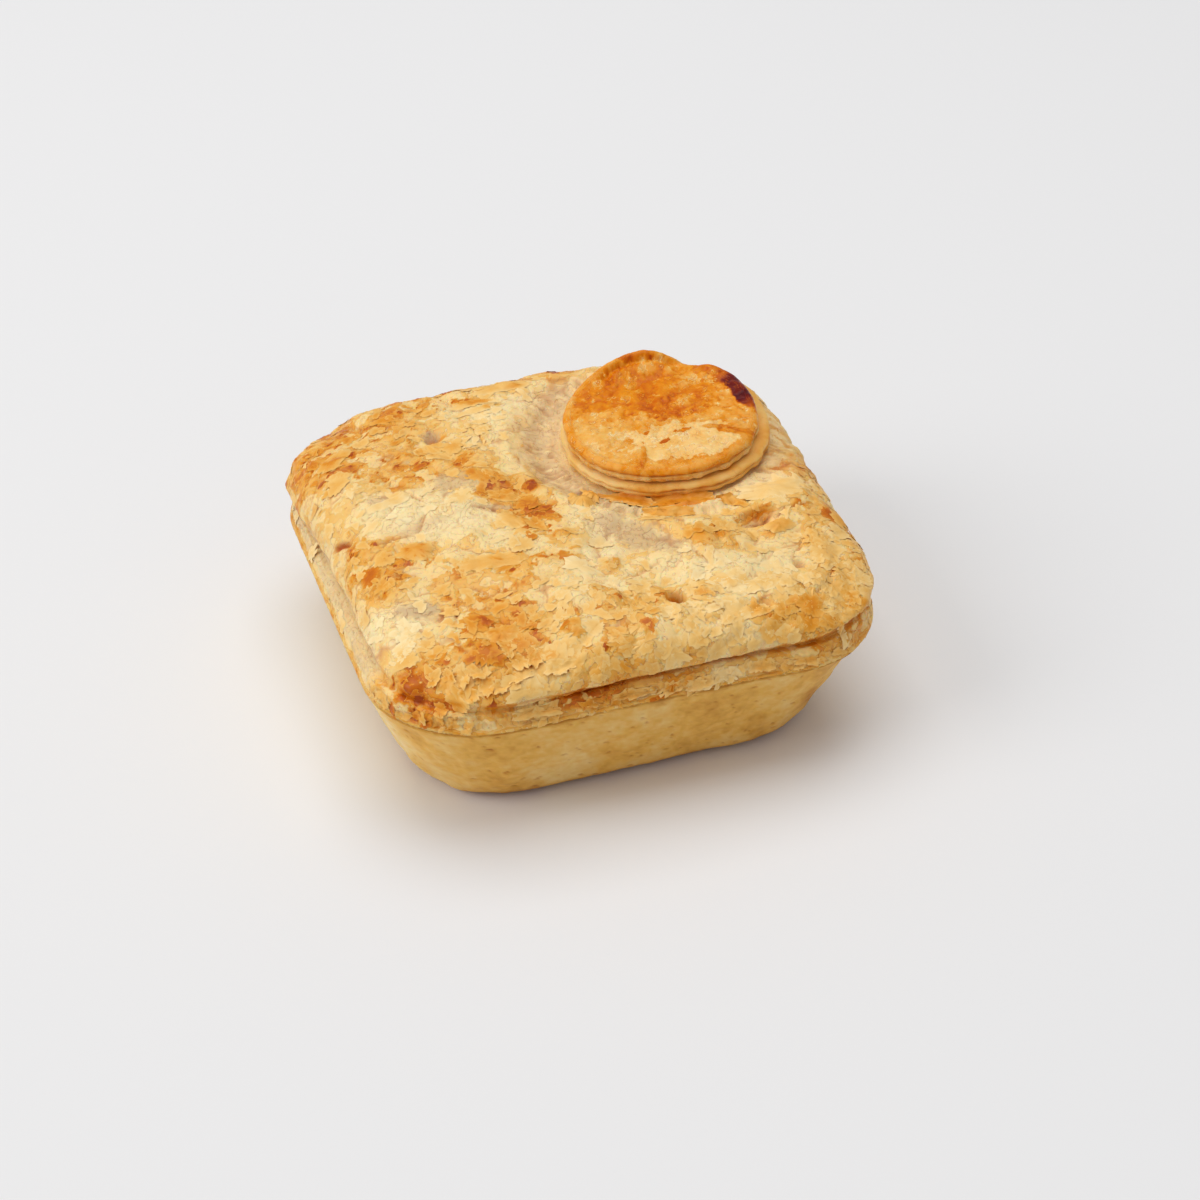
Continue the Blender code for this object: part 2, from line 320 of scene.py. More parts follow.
class NodeBench:
    """Short ways to add and join the nodes of a tree."""

    def __init__(self, tree: bpy.types.NodeTree) -> None:
        """Keeps the tree that the nodes go into."""
        self.tree = tree

    def node(self, kind: str, settings: dict[str, object], inputs: dict[str | int, object]) -> bpy.types.Node:
        """Adds a node.

        Args:
            kind: Blender's name for the node.
            settings: Values for its properties.
            inputs: Values for its sockets, or the sockets that feed them.

        Returns:
            The node.
        """
        node = self.tree.nodes.new(kind)
        for key, value in settings.items():
            setattr(node, key, value)
        for key, value in inputs.items():
            if isinstance(value, Socket):
                self.join(value, node.inputs[key])
            else:
                node.inputs[key].default_value = value
        return node

    def join(self, source: Socket, target: Socket) -> None:
        """Joins one socket to another."""
        self.tree.links.new(source, target)

    def sum(self, kind: str, first: object, second: object, clamp: bool = False) -> Socket:
        """A sum of two numbers, such as ADD or MULTIPLY."""
        settings = {"operation": kind, "use_clamp": clamp}
        return self.node("ShaderNodeMath", settings, {0: first, 1: second}).outputs[0]

    def vector(self, kind: str, inputs: dict[str | int, object]) -> Socket:
        """A sum of vectors, such as ADD or SCALE."""
        return self.node("ShaderNodeVectorMath", {"operation": kind}, inputs).outputs[0]


class Recipe(NodeBench):
    """A material whose nodes are added and joined one by one."""

    def __init__(self, name: str) -> None:
        """Starts a material of that name with its shader."""
        self.material = bpy.data.materials.new(name)
        self.material.use_nodes = True
        super().__init__(self.material.node_tree)
        self.shader = self.tree.nodes["Principled BSDF"]
        self.place = self.node("ShaderNodeTexCoord", {}, {}).outputs["Object"]

    def layer(self, name: str) -> Socket:
        """The number kept on the mesh under that name."""
        return self.node("ShaderNodeAttribute", {"attribute_name": name}, {}).outputs["Fac"]

    def wander(self, size: float, height: float) -> Socket:
        """Cloudy unevenness around 0 that reaches about half the height either way."""
        return self.sum("MULTIPLY", self.sum("SUBTRACT", self.speckle(size), 0.5), 1.5 * height)

    def speckle(self, size: float, detail: float = 3.0, rough: float = 0.6) -> Socket:
        """Cloudy unevenness around 0.5, with lumps of the given size in millimetres."""
        inputs = {"Vector": self.place, "Scale": 1.0 / (size * MM), "Detail": detail, "Roughness": rough}
        return self.node("ShaderNodeTexNoise", {}, inputs).outputs["Fac"]

    def span(self, value: object, low: float, high: float, start: float, end: float) -> Socket:
        """Maps the range low to high onto start to end, and stops at both ends."""
        inputs = {0: value, 1: low, 2: high, 3: start, 4: end}
        return self.node("ShaderNodeMapRange", {}, inputs).outputs[0]

    def mix(self, share: object, first: object, second: object, kind: str = "MIX") -> Socket:
        """Two colours mixed."""
        inputs = {0: share, 6: first, 7: second}
        return self.node("ShaderNodeMix", {"data_type": "RGBA", "blend_type": kind}, inputs).outputs[2]

    def bump(self, height: object, strength: float, distance: float, onto: object = None) -> Socket:
        """Fine relief, its distance in millimetres, added to relief that is there already."""
        inputs = {"Height": height, "Strength": strength, "Distance": distance * MM}
        if onto is not None:
            inputs["Normal"] = onto
        return self.node("ShaderNodeBump", {}, inputs).outputs[0]


@dataclass(frozen=True)
class PastryFinish:
    """Baked pastry: its colour follows the mesh's bake layer from raw dough to burnt.

    Where the mesh's cover layer is above 0 the browned outer skin is there. Elsewhere it has torn away
    and the paler layer under it shows.

    Args:
        name: The material's name.
        tones: Where each colour lies between 0, raw, and 1, burnt.
        dough: The grey of pastry that stayed wet.
        mottle: How much the colour wanders, as a share of the whole range.
        dull: The roughness where it is pale.
        glossy: The roughness where it is browned.
        crumb: The size of the finest relief, in millimetres.
        relief: How deep that relief is, in millimetres.
        film: How thick each sheet of skin is, in millimetres.
        fray: How far the sheets' edges stray.
        ledges: How much their edges show in the colour: a paler line along each torn edge, which also stands
            in for the highlight on it, and painted shadow at the foot of the edge.
        layers: How far the sheets differ in how they baked.
        scale_relief: How far small scales stand above each other, as a share of their size.
        cracks: How dark hair-thin cracks are.
        glow: How far light passes under the surface, as a share.
        coat: How much clear glaze lies on it.
        shine: How much light its own surface throws back.
    """

    name: str
    tones: tuple[tuple[float, tuple[int, int, int]], ...]
    dough: tuple[int, int, int] = (212, 180, 134)
    mottle: float = 0.12
    dull: float = 0.55
    glossy: float = 0.34
    crumb: float = 0.9
    relief: float = 0.02
    film: float = 0.09
    fray: float = 0.12
    ledges: float = 1.0
    layers: float = 0.0
    scale_relief: float = 0.006
    cracks: float = 0.3
    glow: float = 0.25
    coat: float = 0.0
    shine: float = 0.22

    def make(self) -> Material:
        """Makes the material.

        Returns:
            A material that reads the mesh's layers of bake, cover and dough, and its layer of painted shade
            for creases and hollows.
        """
        recipe = Recipe(self.name)
        cover = recipe.sum("ADD", recipe.layer("cover"), recipe.wander(0.7, self.fray))
        sheet = recipe.sum("MULTIPLY", cover, 1.0 / SHEET_SPACING)
        part = recipe.sum("FRACT", sheet, 0.0)
        patchy = recipe.span(recipe.speckle(3.5, 2.0), 0.35, 0.60, 0.25, 1.0)
        # Paler torn edges, also standing in for the highlights on them, and painted shadow just below each
        # edge, at the foot of the sheet above.
        edge = recipe.sum("MULTIPLY", recipe.span(part, 0.0, 0.20, 1.0, 0.0), patchy)
        shade = recipe.sum("MULTIPLY", recipe.span(part, 0.84, 1.0, 0.0, 0.55), patchy)
        whole = recipe.sum("FLOOR", sheet, 0.0)
        settings = {"noise_dimensions": "1D"}
        own = recipe.node("ShaderNodeTexWhiteNoise", settings, {"W": whole}).outputs["Value"]
        bake = self.baking(recipe, recipe.span(cover, -0.02, 0.02, 0.0, 1.0), edge)
        bake = recipe.sum("ADD", bake, recipe.span(own, 0.0, 1.0, -self.layers, self.layers), clamp=True)
        ramp = recipe.node("ShaderNodeValToRGB", {}, {"Fac": bake})
        while len(ramp.color_ramp.elements) < len(self.tones):
            ramp.color_ramp.elements.new(1.0)
        for element, (position, tone) in zip(ramp.color_ramp.elements, self.tones):
            element.position = position
            element.color = colour(*tone)
        skin = recipe.mix(recipe.layer("dough"), ramp.outputs["Color"], colour(*self.dough))
        # Painted shade in creases and at the foot of each sheet's edge darkens the colour here, together with
        # the hair-thin cracks.
        dark = recipe.sum("MAXIMUM", recipe.layer("crease"), self.hairlines(recipe))
        dark = recipe.sum("MAXIMUM", dark, recipe.sum("MULTIPLY", shade, self.ledges))
        skin = recipe.mix(dark, skin, colour(*PAINTED_SHADE_TONE), "MULTIPLY")
        shader = recipe.shader
        recipe.join(skin, shader.inputs["Base Color"])
        gloss = recipe.span(bake, 0.25, 0.75, self.dull, self.glossy)
        recipe.join(gloss, shader.inputs["Roughness"])
        level = recipe.sum("ADD", whole, recipe.span(part, 0.0, 0.08, 0.0, 1.0))
        recipe.join(self.surface(recipe, level), shader.inputs["Normal"])
        shader.inputs["Subsurface Weight"].default_value = self.glow
        shader.inputs["Subsurface Radius"].default_value = (1.0, 0.50, 0.18)
        shader.inputs["Subsurface Scale"].default_value = 1.3 * MM
        shader.inputs["Specular IOR Level"].default_value = self.shine
        shader.inputs["Coat Weight"].default_value = self.coat
        shader.inputs["Coat Roughness"].default_value = 0.18
        return recipe.material

    def baking(self, recipe: Recipe, there: Socket, edge: Socket) -> Socket:
        """How far each place baked, paler where the outer skin is gone and along its torn edges, where the
        paler line also stands in for the highlight on each edge.

        Args:
            recipe: The material being made.
            there: Where the outer skin is.
            edge: Where its torn edges are.

        Returns:
            A number from 0, raw, to 1, burnt.
        """
        bake = recipe.layer("bake")
        paler = {0: bake, 1: 0.50, 2: 0.08}
        under = recipe.node("ShaderNodeMath", {"operation": "MULTIPLY_ADD"}, paler).outputs[0]
        inputs = {"Factor": there, "A": under, "B": bake}
        bake = recipe.node("ShaderNodeMix", {"data_type": "FLOAT"}, inputs).outputs[0]
        bake = recipe.sum("ADD", bake, recipe.wander(3.0, self.mottle))
        bake = recipe.sum("ADD", bake, recipe.wander(0.9, 0.3 * self.mottle))
        return recipe.sum("SUBTRACT", bake, recipe.sum("MULTIPLY", edge, 0.26 * self.ledges), clamp=True)

    def hairlines(self, recipe: Recipe) -> Socket:
        """Hair-thin dark cracks that wander and break off.

        Args:
            recipe: The material being made.

        Returns:
            How dark each place is, from 0 to 1.
        """
        off = recipe.sum("ABSOLUTE", recipe.sum("SUBTRACT", recipe.speckle(4.5, 4.0, 0.55), 0.5), 0.0)
        line = recipe.span(off, 0.004, 0.016, 1.0, 0.0)
        there = recipe.span(recipe.speckle(6.0, 1.0), 0.50, 0.60, 0.0, self.cracks)
        return recipe.sum("MULTIPLY", line, there)

    def surface(self, recipe: Recipe, level: Socket) -> Socket:
        """The finest relief: crumb, small scales and the sharp edges of the sheets.

        Args:
            recipe: The material being made.
            level: How many sheets lie under each place.

        Returns:
            The bent normal.
        """
        bent = recipe.bump(recipe.speckle(self.crumb, 2.0, 0.5), 0.7, self.relief)
        for size in (2.6, 1.2):
            inputs = {"Vector": self.torn(recipe, size), "Scale": 1.0 / (size * MM)}
            cell = recipe.node("ShaderNodeTexVoronoi", {"feature": "F1"}, inputs)
            bent = recipe.bump(cell.outputs["Color"], 0.8, self.scale_relief * size, bent)
        return recipe.bump(level, 1.0, self.film, bent)

    def torn(self, recipe: Recipe, size: float) -> Socket:
        """Object coordinates shaken so that the edges of scales are ragged.

        Args:
            recipe: The material being made.
            size: The scales' size in millimetres.

        Returns:
            The shaken coordinates.
        """
        inputs = {"Vector": recipe.place, "Scale": 2.4 / (size * MM), "Detail": 3.0}
        shake = recipe.node("ShaderNodeTexNoise", {}, inputs).outputs["Color"]
        centred = recipe.vector("SUBTRACT", {0: shake, 1: (0.5, 0.5, 0.5)})
        scaled = recipe.vector("SCALE", {0: centred, "Scale": 0.8 * size * MM})
        return recipe.vector("ADD", {0: recipe.place, 1: scaled})


# How much the cover layer rises from one sheet of skin to the next.
SHEET_SPACING = 0.36
# Painted shade: the colour that creases, grooves, slits, holes and pits are multiplied with to darken them.
PAINTED_SHADE_TONE = (190, 112, 46)
PUFF_TONES = (
    (0.00, (253, 231, 178)),
    (0.20, (250, 215, 148)),
    (0.35, (245, 198, 116)),
    (0.50, (238, 176, 80)),
    (0.62, (228, 148, 36)),
    (0.74, (208, 112, 6)),
    (0.85, (170, 72, 4)),
    (0.94, (116, 44, 16)),
    (1.00, (66, 24, 16)),
)
GLAZE_TONES = (
    (0.00, (250, 228, 182)),
    (0.22, (250, 216, 150)),
    (0.38, (242, 182, 88)),
    (0.52, (232, 144, 20)),
    (0.66, (210, 104, 2)),
    (0.80, (164, 64, 4)),
    (0.89, (118, 28, 18)),
    (1.00, (82, 8, 16)),
)
CASE_TONES = (
    (0.00, (248, 222, 168)),
    (0.25, (242, 203, 126)),
    (0.45, (232, 178, 82)),
    (0.62, (208, 148, 58)),
    (0.80, (178, 108, 26)),
    (1.00, (120, 60, 16)),
)


@dataclass(frozen=True)
class Finishes:
    """The pie's finishes, one material for each.

    Args:
        puff: The lid's flaky skin.
        flake: Loose flakes, thinner and shinier.
        case: Shortcrust that baked against a tin.
        pale: Puff pastry that the heat hardly reached.
        glaze: Egg-washed puff pastry.
    """

    puff: Material
    flake: Material
    case: Material
    pale: Material
    glaze: Material

    @staticmethod
    def make() -> "Finishes":
        """Makes the five materials."""
        return Finishes(
            puff=PastryFinish("lid_skin", PUFF_TONES, glow=0.32, layers=0.09, dull=0.48, glossy=0.28).make(),
            flake=PastryFinish(
                "loose_flake", PUFF_TONES, relief=0.02, dull=0.42, cracks=0.0, film=0.0, ledges=0.0, glow=0.0
            ).make(),
            case=PastryFinish(
                "tin_baked_crust", CASE_TONES, mottle=0.10, glossy=0.5, cracks=0.0, ledges=0.0, film=0.0
            ).make(),
            pale=PastryFinish(
                "pale_round", PUFF_TONES, mottle=0.08, cracks=0.2, film=0.02, ledges=0.5
            ).make(),
            glaze=PastryFinish(
                "egg_glaze", GLAZE_TONES, dull=0.34, glossy=0.22, mottle=0.13, relief=0.006, film=0.05,
                scale_relief=0.003, coat=0.03, shine=0.09,
            ).make(),
        )


# ---------- Lid ----------


@dataclass(frozen=True)
class Spot:
    """An oval patch of the lid, seen from above, in millimetres.

    Args:
        x: Where its middle is, to the right.
        y: Where its middle is, to the back.
        along: Half its length.
        across: Half its width.
        bake: How much browner it is, or paler if below 0.
        turn: Which way its length runs, in degrees.
        swell: How far it is raised.
        ring: How much paler its middle is, as a share of its bake.
    """

    x: float
    y: float
    along: float
    across: float
    bake: float
    turn: float = 0.0
    swell: float = 0.0
    ring: float = 0.0

    def share(self, places: Numbers, stray: Numbers | float = 0.0, edge: float = 0.5) -> Numbers:
        """How much of the patch each place has.

        Args:
            places: One row for each place.
            stray: How far the outline strays at each place, as a share of the size.
            edge: How soft the outline is, as a share of the size.

        Returns:
            1 in the patch and 0 outside it, with a soft edge.
        """
        turn = math.radians(self.turn)
        dx, dy = places[:, 0] - self.x, places[:, 1] - self.y
        along = (dx * math.cos(turn) + dy * math.sin(turn)) / self.along
        across = (-dx * math.sin(turn) + dy * math.cos(turn)) / self.across
        return smooth((1.0 + stray - np.hypot(along, across)) / edge + 0.5)


# Brown and orange spots, with a crisp edge.
BROWN_SPOTS = (
    Spot(-6.7, 4.2, 2.4, 1.5, 0.36, 80),
    Spot(-7.3, -4.4, 3.6, 1.7, 0.36, -50),
    Spot(-9.4, -5.4, 2.2, 0.9, 0.24, -50),
    Spot(-10.8, -7.7, 1.5, 1.2, 0.40, 0, 0.2),
    Spot(-11.8, -13.1, 1.8, 0.9, 0.30, 80),
    Spot(-11.9, 6.1, 1.5, 0.9, 0.34, -60),
    Spot(-15.4, 6.5, 1.6, 1.2, 0.22, 20),
    Spot(-17.1, 4.1, 1.9, 1.3, 0.20, 20),
    Spot(-8.9, -21.8, 3.8, 1.3, 0.34, -5, 0.3, 0.2),
    Spot(-5.6, -20.3, 1.8, 0.8, 0.30, 20),
    Spot(-11.9, -19.5, 2.2, 0.6, 0.20, 20),
    Spot(0.2, -26.2, 2.2, 1.5, 0.34, 60, 0.5, 0.5),
    Spot(-4.4, -35.6, 3.4, 1.9, 0.26, -40, 0.3, 0.5),
    Spot(-2.9, -37.4, 1.5, 0.8, 0.36, -20),
    Spot(5.9, -37.4, 1.6, 1.3, 0.28, 0, 0.3, 0.4),
    Spot(13.5, -36.5, 1.7, 0.8, 0.30, -10, 0.2, 0.2),
    Spot(15.0, -39.4, 2.1, 1.7, 0.32, 0, 0.6, 0.7),
    Spot(-13.7, -42.8, 2.3, 1.4, 0.34, 100, 0.4, 0.3),
    Spot(-11.2, -38.7, 1.2, 0.8, 0.26, 60),
    Spot(0.3, -46.1, 1.0, 0.7, 0.26),
    Spot(-9.4, -48.4, 0.9, 0.7, 0.26),
    Spot(19.5, -23.5, 3.8, 1.8, 0.24, 80, 0.3),
    Spot(19.8, -25.2, 1.6, 1.3, 0.14, 60),
    Spot(17.9, -28.8, 2.0, 0.9, 0.30, 60),
    Spot(47.7, -21.0, 2.6, 0.8, 0.34, -30),
    Spot(32.8, -13.6, 1.1, 0.8, 0.42),
    Spot(37.1, -23.2, 3.6, 2.4, 0.20, 20, 0.3),
    Spot(34.6, -17.8, 3.0, 1.0, 0.26, 20),
    Spot(-30.8, -43.0, 3.4, 1.8, 0.30, -20, 0.5),
    Spot(-28.6, -44.2, 2.4, 1.1, 0.18, -10),
    Spot(-28.2, -34.4, 2.6, 0.8, 0.32, -70),
    Spot(-20.8, -36.7, 2.6, 0.7, 0.30, -50),
    Spot(-19.0, -44.6, 2.4, 0.7, 0.28, -50),
    Spot(-20.2, -32.7, 2.2, 0.7, 0.30, -20),
    Spot(-46.2, -4.0, 0.7, 0.7, 0.40),
    Spot(-39.6, 24.0, 2.4, 1.8, 0.26),
    Spot(-25.9, 19.0, 2.2, 1.3, 0.26, -20),
    Spot(-29.6, 20.4, 2.4, 1.1, 0.22, -10),
    Spot(-18.0, 17.0, 2.2, 1.2, 0.24, -10),
    Spot(-32.4, 12.4, 2.4, 1.4, 0.16),
    Spot(-18.6, 28.4, 1.7, 1.0, 0.20),
    Spot(-27.1, 43.5, 2.2, 1.1, 0.32, 10),
    Spot(-11.8, 47.0, 2.2, 1.0, 0.30, 10),
    Spot(-8.4, 40.2, 3.8, 1.2, 0.34, -12),
    Spot(-5.0, 36.4, 3.0, 1.0, 0.26, 0),
    Spot(2.0, 43.0, 1.8, 1.0, 0.28),
    Spot(-1.4, 45.4, 1.8, 0.8, 0.22),
    Spot(-45.4, -41.2, 3.2, 1.9, 0.28, -42, 0.3),
    Spot(-47.9, -37.5, 0.5, 0.5, 0.45),
    Spot(-48.2, -32.6, 1.3, 1.8, 0.26),
    Spot(-46.1, -44.7, 0.8, 0.7, 0.50),
    Spot(44.0, -3.8, 2.8, 0.9, 0.24, -20),
    Spot(50.6, 7.0, 0.8, 2.8, 0.24, 20),
    Spot(-46.2, 36.0, 3.2, 2.2, 0.14, 60),
    Spot(-52.0, 25.4, 1.8, 1.5, 0.30),
)
# Wide areas that baked more or less, with a soft edge.
WIDE_AREAS = (
    Spot(-42.0, 33.0, 14.0, 11.0, 0.12),
    Spot(-30.0, 44.0, 16.0, 5.0, 0.10),
    Spot(-26.0, 18.0, 11.0, 6.0, 0.10, 0),
    Spot(-12.0, 4.0, 10.0, 7.0, 0.16, -50),
    Spot(-8.0, -10.0, 9.0, 5.0, 0.08, -70),
    Spot(-35.5, -10.0, 4.6, 3.6, 0.18, 0, 0.5),
    Spot(-43.0, -6.0, 6.0, 9.0, 0.10),
    Spot(-42.0, -15.0, 3.5, 5.0, 0.10, 0, 0.4),
    Spot(-22.0, -18.5, 6.0, 3.0, 0.10, -15),
    Spot(-24.0, -35.0, 11.0, 8.0, 0.10, -20),
    Spot(-34.0, -44.0, 12.0, 6.0, 0.08),
    Spot(-44.0, -42.0, 7.0, 7.0, 0.08),
    Spot(44.0, -36.0, 12.0, 14.0, 0.04),
    Spot(50.0, -10.0, 7.0, 18.0, 0.05),
    Spot(35.0, -40.0, 14.0, 8.0, -0.05),
    Spot(24.0, -49.0, 9.0, 5.0, 0.03),
    Spot(22.0, -24.0, 5.0, 6.0, 0.08),
    Spot(0.0, -16.0, 6.0, 9.0, -0.10),
    Spot(4.0, -31.0, 14.0, 5.0, -0.08),
    Spot(24.0, -33.0, 12.0, 5.0, -0.10),
    Spot(-45.0, -28.0, 6.0, 7.0, -0.14),
    Spot(-28.0, -2.0, 12.0, 8.0, -0.16),
    Spot(-38.0, 2.0, 8.0, 5.0, -0.14),
    Spot(2.0, 33.0, 10.0, 8.0, -0.12),
    Spot(40.0, -10.0, 8.0, 5.0, -0.10),
    Spot(34.0, 42.0, 14.0, 7.0, 0.06),
    Spot(38.0, -48.0, 10.0, 5.0, 0.05),
    Spot(16.0, -51.0, 5.0, 3.5, -0.14),
)
# Torn places where the skin is gone and grey dough shows.
DOUGH_AREAS = (
    Spot(8.5, -17.5, 10.0, 3.6, 0.8, -50),
    Spot(-21.5, 9.5, 5.0, 3.6, 0.7, -40),
    Spot(-20.9, 30.1, 2.4, 1.4, 0.9, 0),
    Spot(-40.0, -25.5, 4.0, 2.2, 0.9, -30),
    Spot(-27.6, 21.4, 1.8, 0.8, 0.6, -30),
    Spot(-16.5, -1.2, 3.6, 1.2, 0.7, -20),
    Spot(-30.0, -2.0, 5.0, 1.6, 0.4, 10),
    Spot(-37.0, 10.0, 3.0, 1.2, 0.5, 20),
    Spot(-12.0, 22.0, 4.0, 1.0, 0.6, -70),
    Spot(33.0, -19.5, 3.0, 1.0, 0.7, 10),
)
# Slits where the skin split, dark and narrow.
SLITS = (
    Spot(-48.2, 3.0, 3.2, 0.55, 1.0, -52),
    Spot(-17.0, -1.4, 3.4, 0.35, 0.8, -25),
    Spot(-11.2, 24.0, 6.0, 0.30, 0.7, -85),
    Spot(-38.5, -4.1, 3.5, 0.30, 0.6, 5),
    Spot(-31.0, -0.5, 3.0, 0.30, 0.6, 60),
    Spot(34.5, -19.3, 3.0, 0.45, 0.9, 15),
    Spot(41.5, -19.0, 4.5, 0.30, 0.6, 10),
    Spot(-35.4, -28.4, 1.6, 0.45, 0.7, 60),
    Spot(-23.0, -37.5, 3.6, 0.35, 0.6, -40),
    Spot(-30.4, 7.6, 3.0, 0.30, 0.6, -60),
    Spot(-42.0, -28.5, 4.0, 0.30, 0.5, -20),
    Spot(4.0, -30.5, 5.0, 0.30, 0.4, 20),
    Spot(12.0, -44.5, 4.0, 0.30, 0.5, -30),
    Spot(38.5, -30.5, 4.5, 0.35, 0.6, 50),
    Spot(42.0, -38.5, 5.0, 0.35, 0.6, 60),
    Spot(36.5, -44.0, 4.0, 0.30, 0.5, 30),
    Spot(-33.0, -30.5, 3.0, 0.35, 0.6, 70),
)


def corner_flare(places: Numbers) -> Numbers:
    """How near each place is to the front right corner, where the rim was pressed out and down, 0 to 1."""
    facing = np.degrees(np.arctan2(places[:, 1], places[:, 0]))
    return smooth(1.25 - np.abs(facing + 44.0) / 26.0)


# How far the rim was pressed out at that corner, in millimetres and as a share of the way from the middle.
FLARE = 1.4
FLARE_SHARE = FLARE / 62.0


@dataclass
class PuffLid:
    """The risen puff lid: its skin, the groove where it split and its sealed edge.

    The sizes are those of its solid, in millimetres.
    """

    rim_half: tuple[float, float] = (52.0, 52.6)
    rim_corner: float = 23.0
    foot_z: float = 25.1
    centre: tuple[float, float] = (2.6, 0.5)
    half: tuple[float, float] = (52.0, 52.7)
    corner: float = 24.0
    lean: float = 2.0
    bulges: tuple[tuple[float, float], ...] = ((144.0, 2.6), (42.0, 1.0), (-45.0, 0.6))
    bulge_reach: float = 21.0
    groove_z: float = 29.0
    groove_slope: float = 0.022
    groove_depth: float = 3.6
    shoulder_z: float = 31.4
    shoulder_radius: float = 9.5
    top_z: float = 39.4
    top_slope: float = 0.04
    dome_rise: float = 1.7
    corner_droop: float = 6.5
    lump_size: float = 17.0
    lump_height: float = 0.75
    # Each vent hole: its place, its radius and its depth.
    vents: tuple[tuple[float, float, float, float], ...] = (
        (8.5, -39.4, 1.6, 4.2), (36.4, -35.6, 1.1, 1.2), (-20.6, 29.0, 1.7, 1.3), (-36.6, -28.8, 1.3, 0.5),
        (24.7, -45.9, 1.2, 0.9),
    )
    pit: Spot = Spot(34.3, -19.6, 4.2, 2.0, 0.0)
    pit_depth: float = 2.2
    hollow: Spot = Spot(9.0, -19.0, 9.0, 5.0, 0.0, -30.0)
    hollow_depth: float = 1.7
    blister: Spot = Spot(-45.6, -41.8, 3.8, 2.8, 0.0, -43.0)
    # The dark middle of the blister: its place and its radius.
    ember: tuple[float, float, float, float] = (-45.9, -41.3, 29.7, 1.9)
    seat_centre: tuple[float, float] = (26.2, 15.3)
    seat_z: float = 39.7
    seat_slope: tuple[float, float] = (0.064, 0.064)
    seat_margin: float = 3.6
    moat_width: float = 8.0
    round_radius: float = 22.2
    flap_radius: float = 26.6
    flap_width: float = 1.9
    flap_height: float = 1.6
    flap_direction: float = -108.0
    flap_reach: float = 52.0
    shoulder_arc: float = 13.8
    divisions: int = 260
    side_levels: int = 30

    def outline(self, turn: Numbers, reach: Numbers | float = 1.0) -> Numbers:
        """Places on the lid seen from above.

        Args:
            turn: Which way each place lies, 0 to 4.
            reach: How far out it lies, 0 to 1.

        Returns:
            One row (x, y) for each place.
        """
        flat = rounded_square(turn, self.half, self.corner) * np.reshape(reach, (-1, 1))
        facing = np.arctan2(flat[:, 1], flat[:, 0])
        for direction, bulge in self.bulges:
            off = np.degrees(np.angle(np.exp(1j * (facing - math.radians(direction))))) / self.bulge_reach
            flat *= (1.0 + bulge / self.half[0] * np.exp(-off * off))[:, None]
        x, y = flat[:, 0] + self.centre[0], flat[:, 1] + self.centre[1]
        rightness = np.maximum(x, 0.0) / self.half[0]
        x = x + self.lean * rightness * np.sin(math.pi / 2 * np.clip(y / 40.0, -1.0, 1.0))
        return np.column_stack((x, y))

    def seat(self, places: Numbers) -> Numbers:
        """Height of the tilted plane that the rounds lie on, at each place."""
        across = places[:, 0] - self.seat_centre[0]
        back = places[:, 1] - self.seat_centre[1]
        return self.seat_z + self.seat_slope[0] * across + self.seat_slope[1] * back

    def plateau(self, places: Numbers) -> Numbers:
        """Height of the low dome, before its shoulder and its relief, at each place."""
        u = (places[:, 0] - self.centre[0]) / self.half[0]
        v = (places[:, 1] - self.centre[1]) / self.half[1]
        dome = self.dome_rise * (1.0 - u * u) * (1.0 - v * v)
        return self.top_z + self.top_slope * places[:, 1] + dome - self.corner_droop * (u * v) ** 2

    def lumps(self, places: Numbers) -> Numbers:
        """The broad lumps, less the vent holes, the pit and the hollow, at each place."""
        still = 2.0 * self.lump_height
        height = np.array([still * noise.noise(Vector((x, y, 3.0)) / self.lump_size) for x, y in places])
        for x, y, radius, depth in self.vents:
            away = np.hypot(places[:, 0] - x, places[:, 1] - y) / radius
            height -= depth * smooth(1.5 - away / 1.1)
        height -= self.pit_depth * self.pit.share(places, 0.0, 1.0)
        height -= self.hollow_depth * self.hollow.share(places, 0.0, 1.4)
        return height + 0.3

    def away_from_rounds(self, places: Numbers) -> Numbers:
        """How far each place lies outside the lower round's edge."""
        back = places[:, 1] - self.seat_centre[1]
        return np.hypot(places[:, 0] - self.seat_centre[0], back) - self.round_radius

    def flap(self, places: Numbers) -> Numbers:
        """Height of the ridge of skin that stands in an arc before the rounds, at each place."""
        dx, dy = places[:, 0] - self.seat_centre[0], places[:, 1] - self.seat_centre[1]
        off = np.angle(np.exp(1j * (np.arctan2(dy, dx) - math.radians(self.flap_direction))))
        along = smooth(1.5 - 1.5 * np.abs(np.degrees(off)) / self.flap_reach)
        across = smooth(1.0 - np.abs(np.hypot(dx, dy) - self.flap_radius) / (1.4 * self.flap_width))
        return self.flap_height * along * across

    def top(self, turn: Numbers, ring: Numbers) -> Numbers:
        """Shapes the top sheet, without its fine relief.

        Args:
            turn: Which way each point of the sheet lies, 0 to 4.
            ring: How far out it lies on the sheet, 0 to 1, in even steps over the surface.

        Returns:
            A place for each point.
        """
        flat_run = self.half[0] - self.shoulder_radius
        run = ring * (flat_run + self.shoulder_arc)
        angle = np.clip((run - flat_run) / self.shoulder_arc, 0.0, 1.0) * math.pi / 2
        reach = np.minimum(run, flat_run) / self.half[0]
        reach = reach + (1.0 - flat_run / self.half[0]) * np.sin(angle)
        places = self.outline(turn, reach)
        border = self.border_z(self.outline(turn))
        height = border + (self.plateau(places) + self.lumps(places) - border) * np.cos(angle)
        seat, away = self.seat(places), self.away_from_rounds(places)
        below = seat + (height - seat) * smooth((away + 1.5) / self.seat_margin)
        rise = smooth((away - self.seat_margin) / self.moat_width)
        above = seat + (height - seat) * rise + self.flap(places) * (away > self.seat_margin)
        return np.column_stack((places, np.where(height < seat, below, above)))

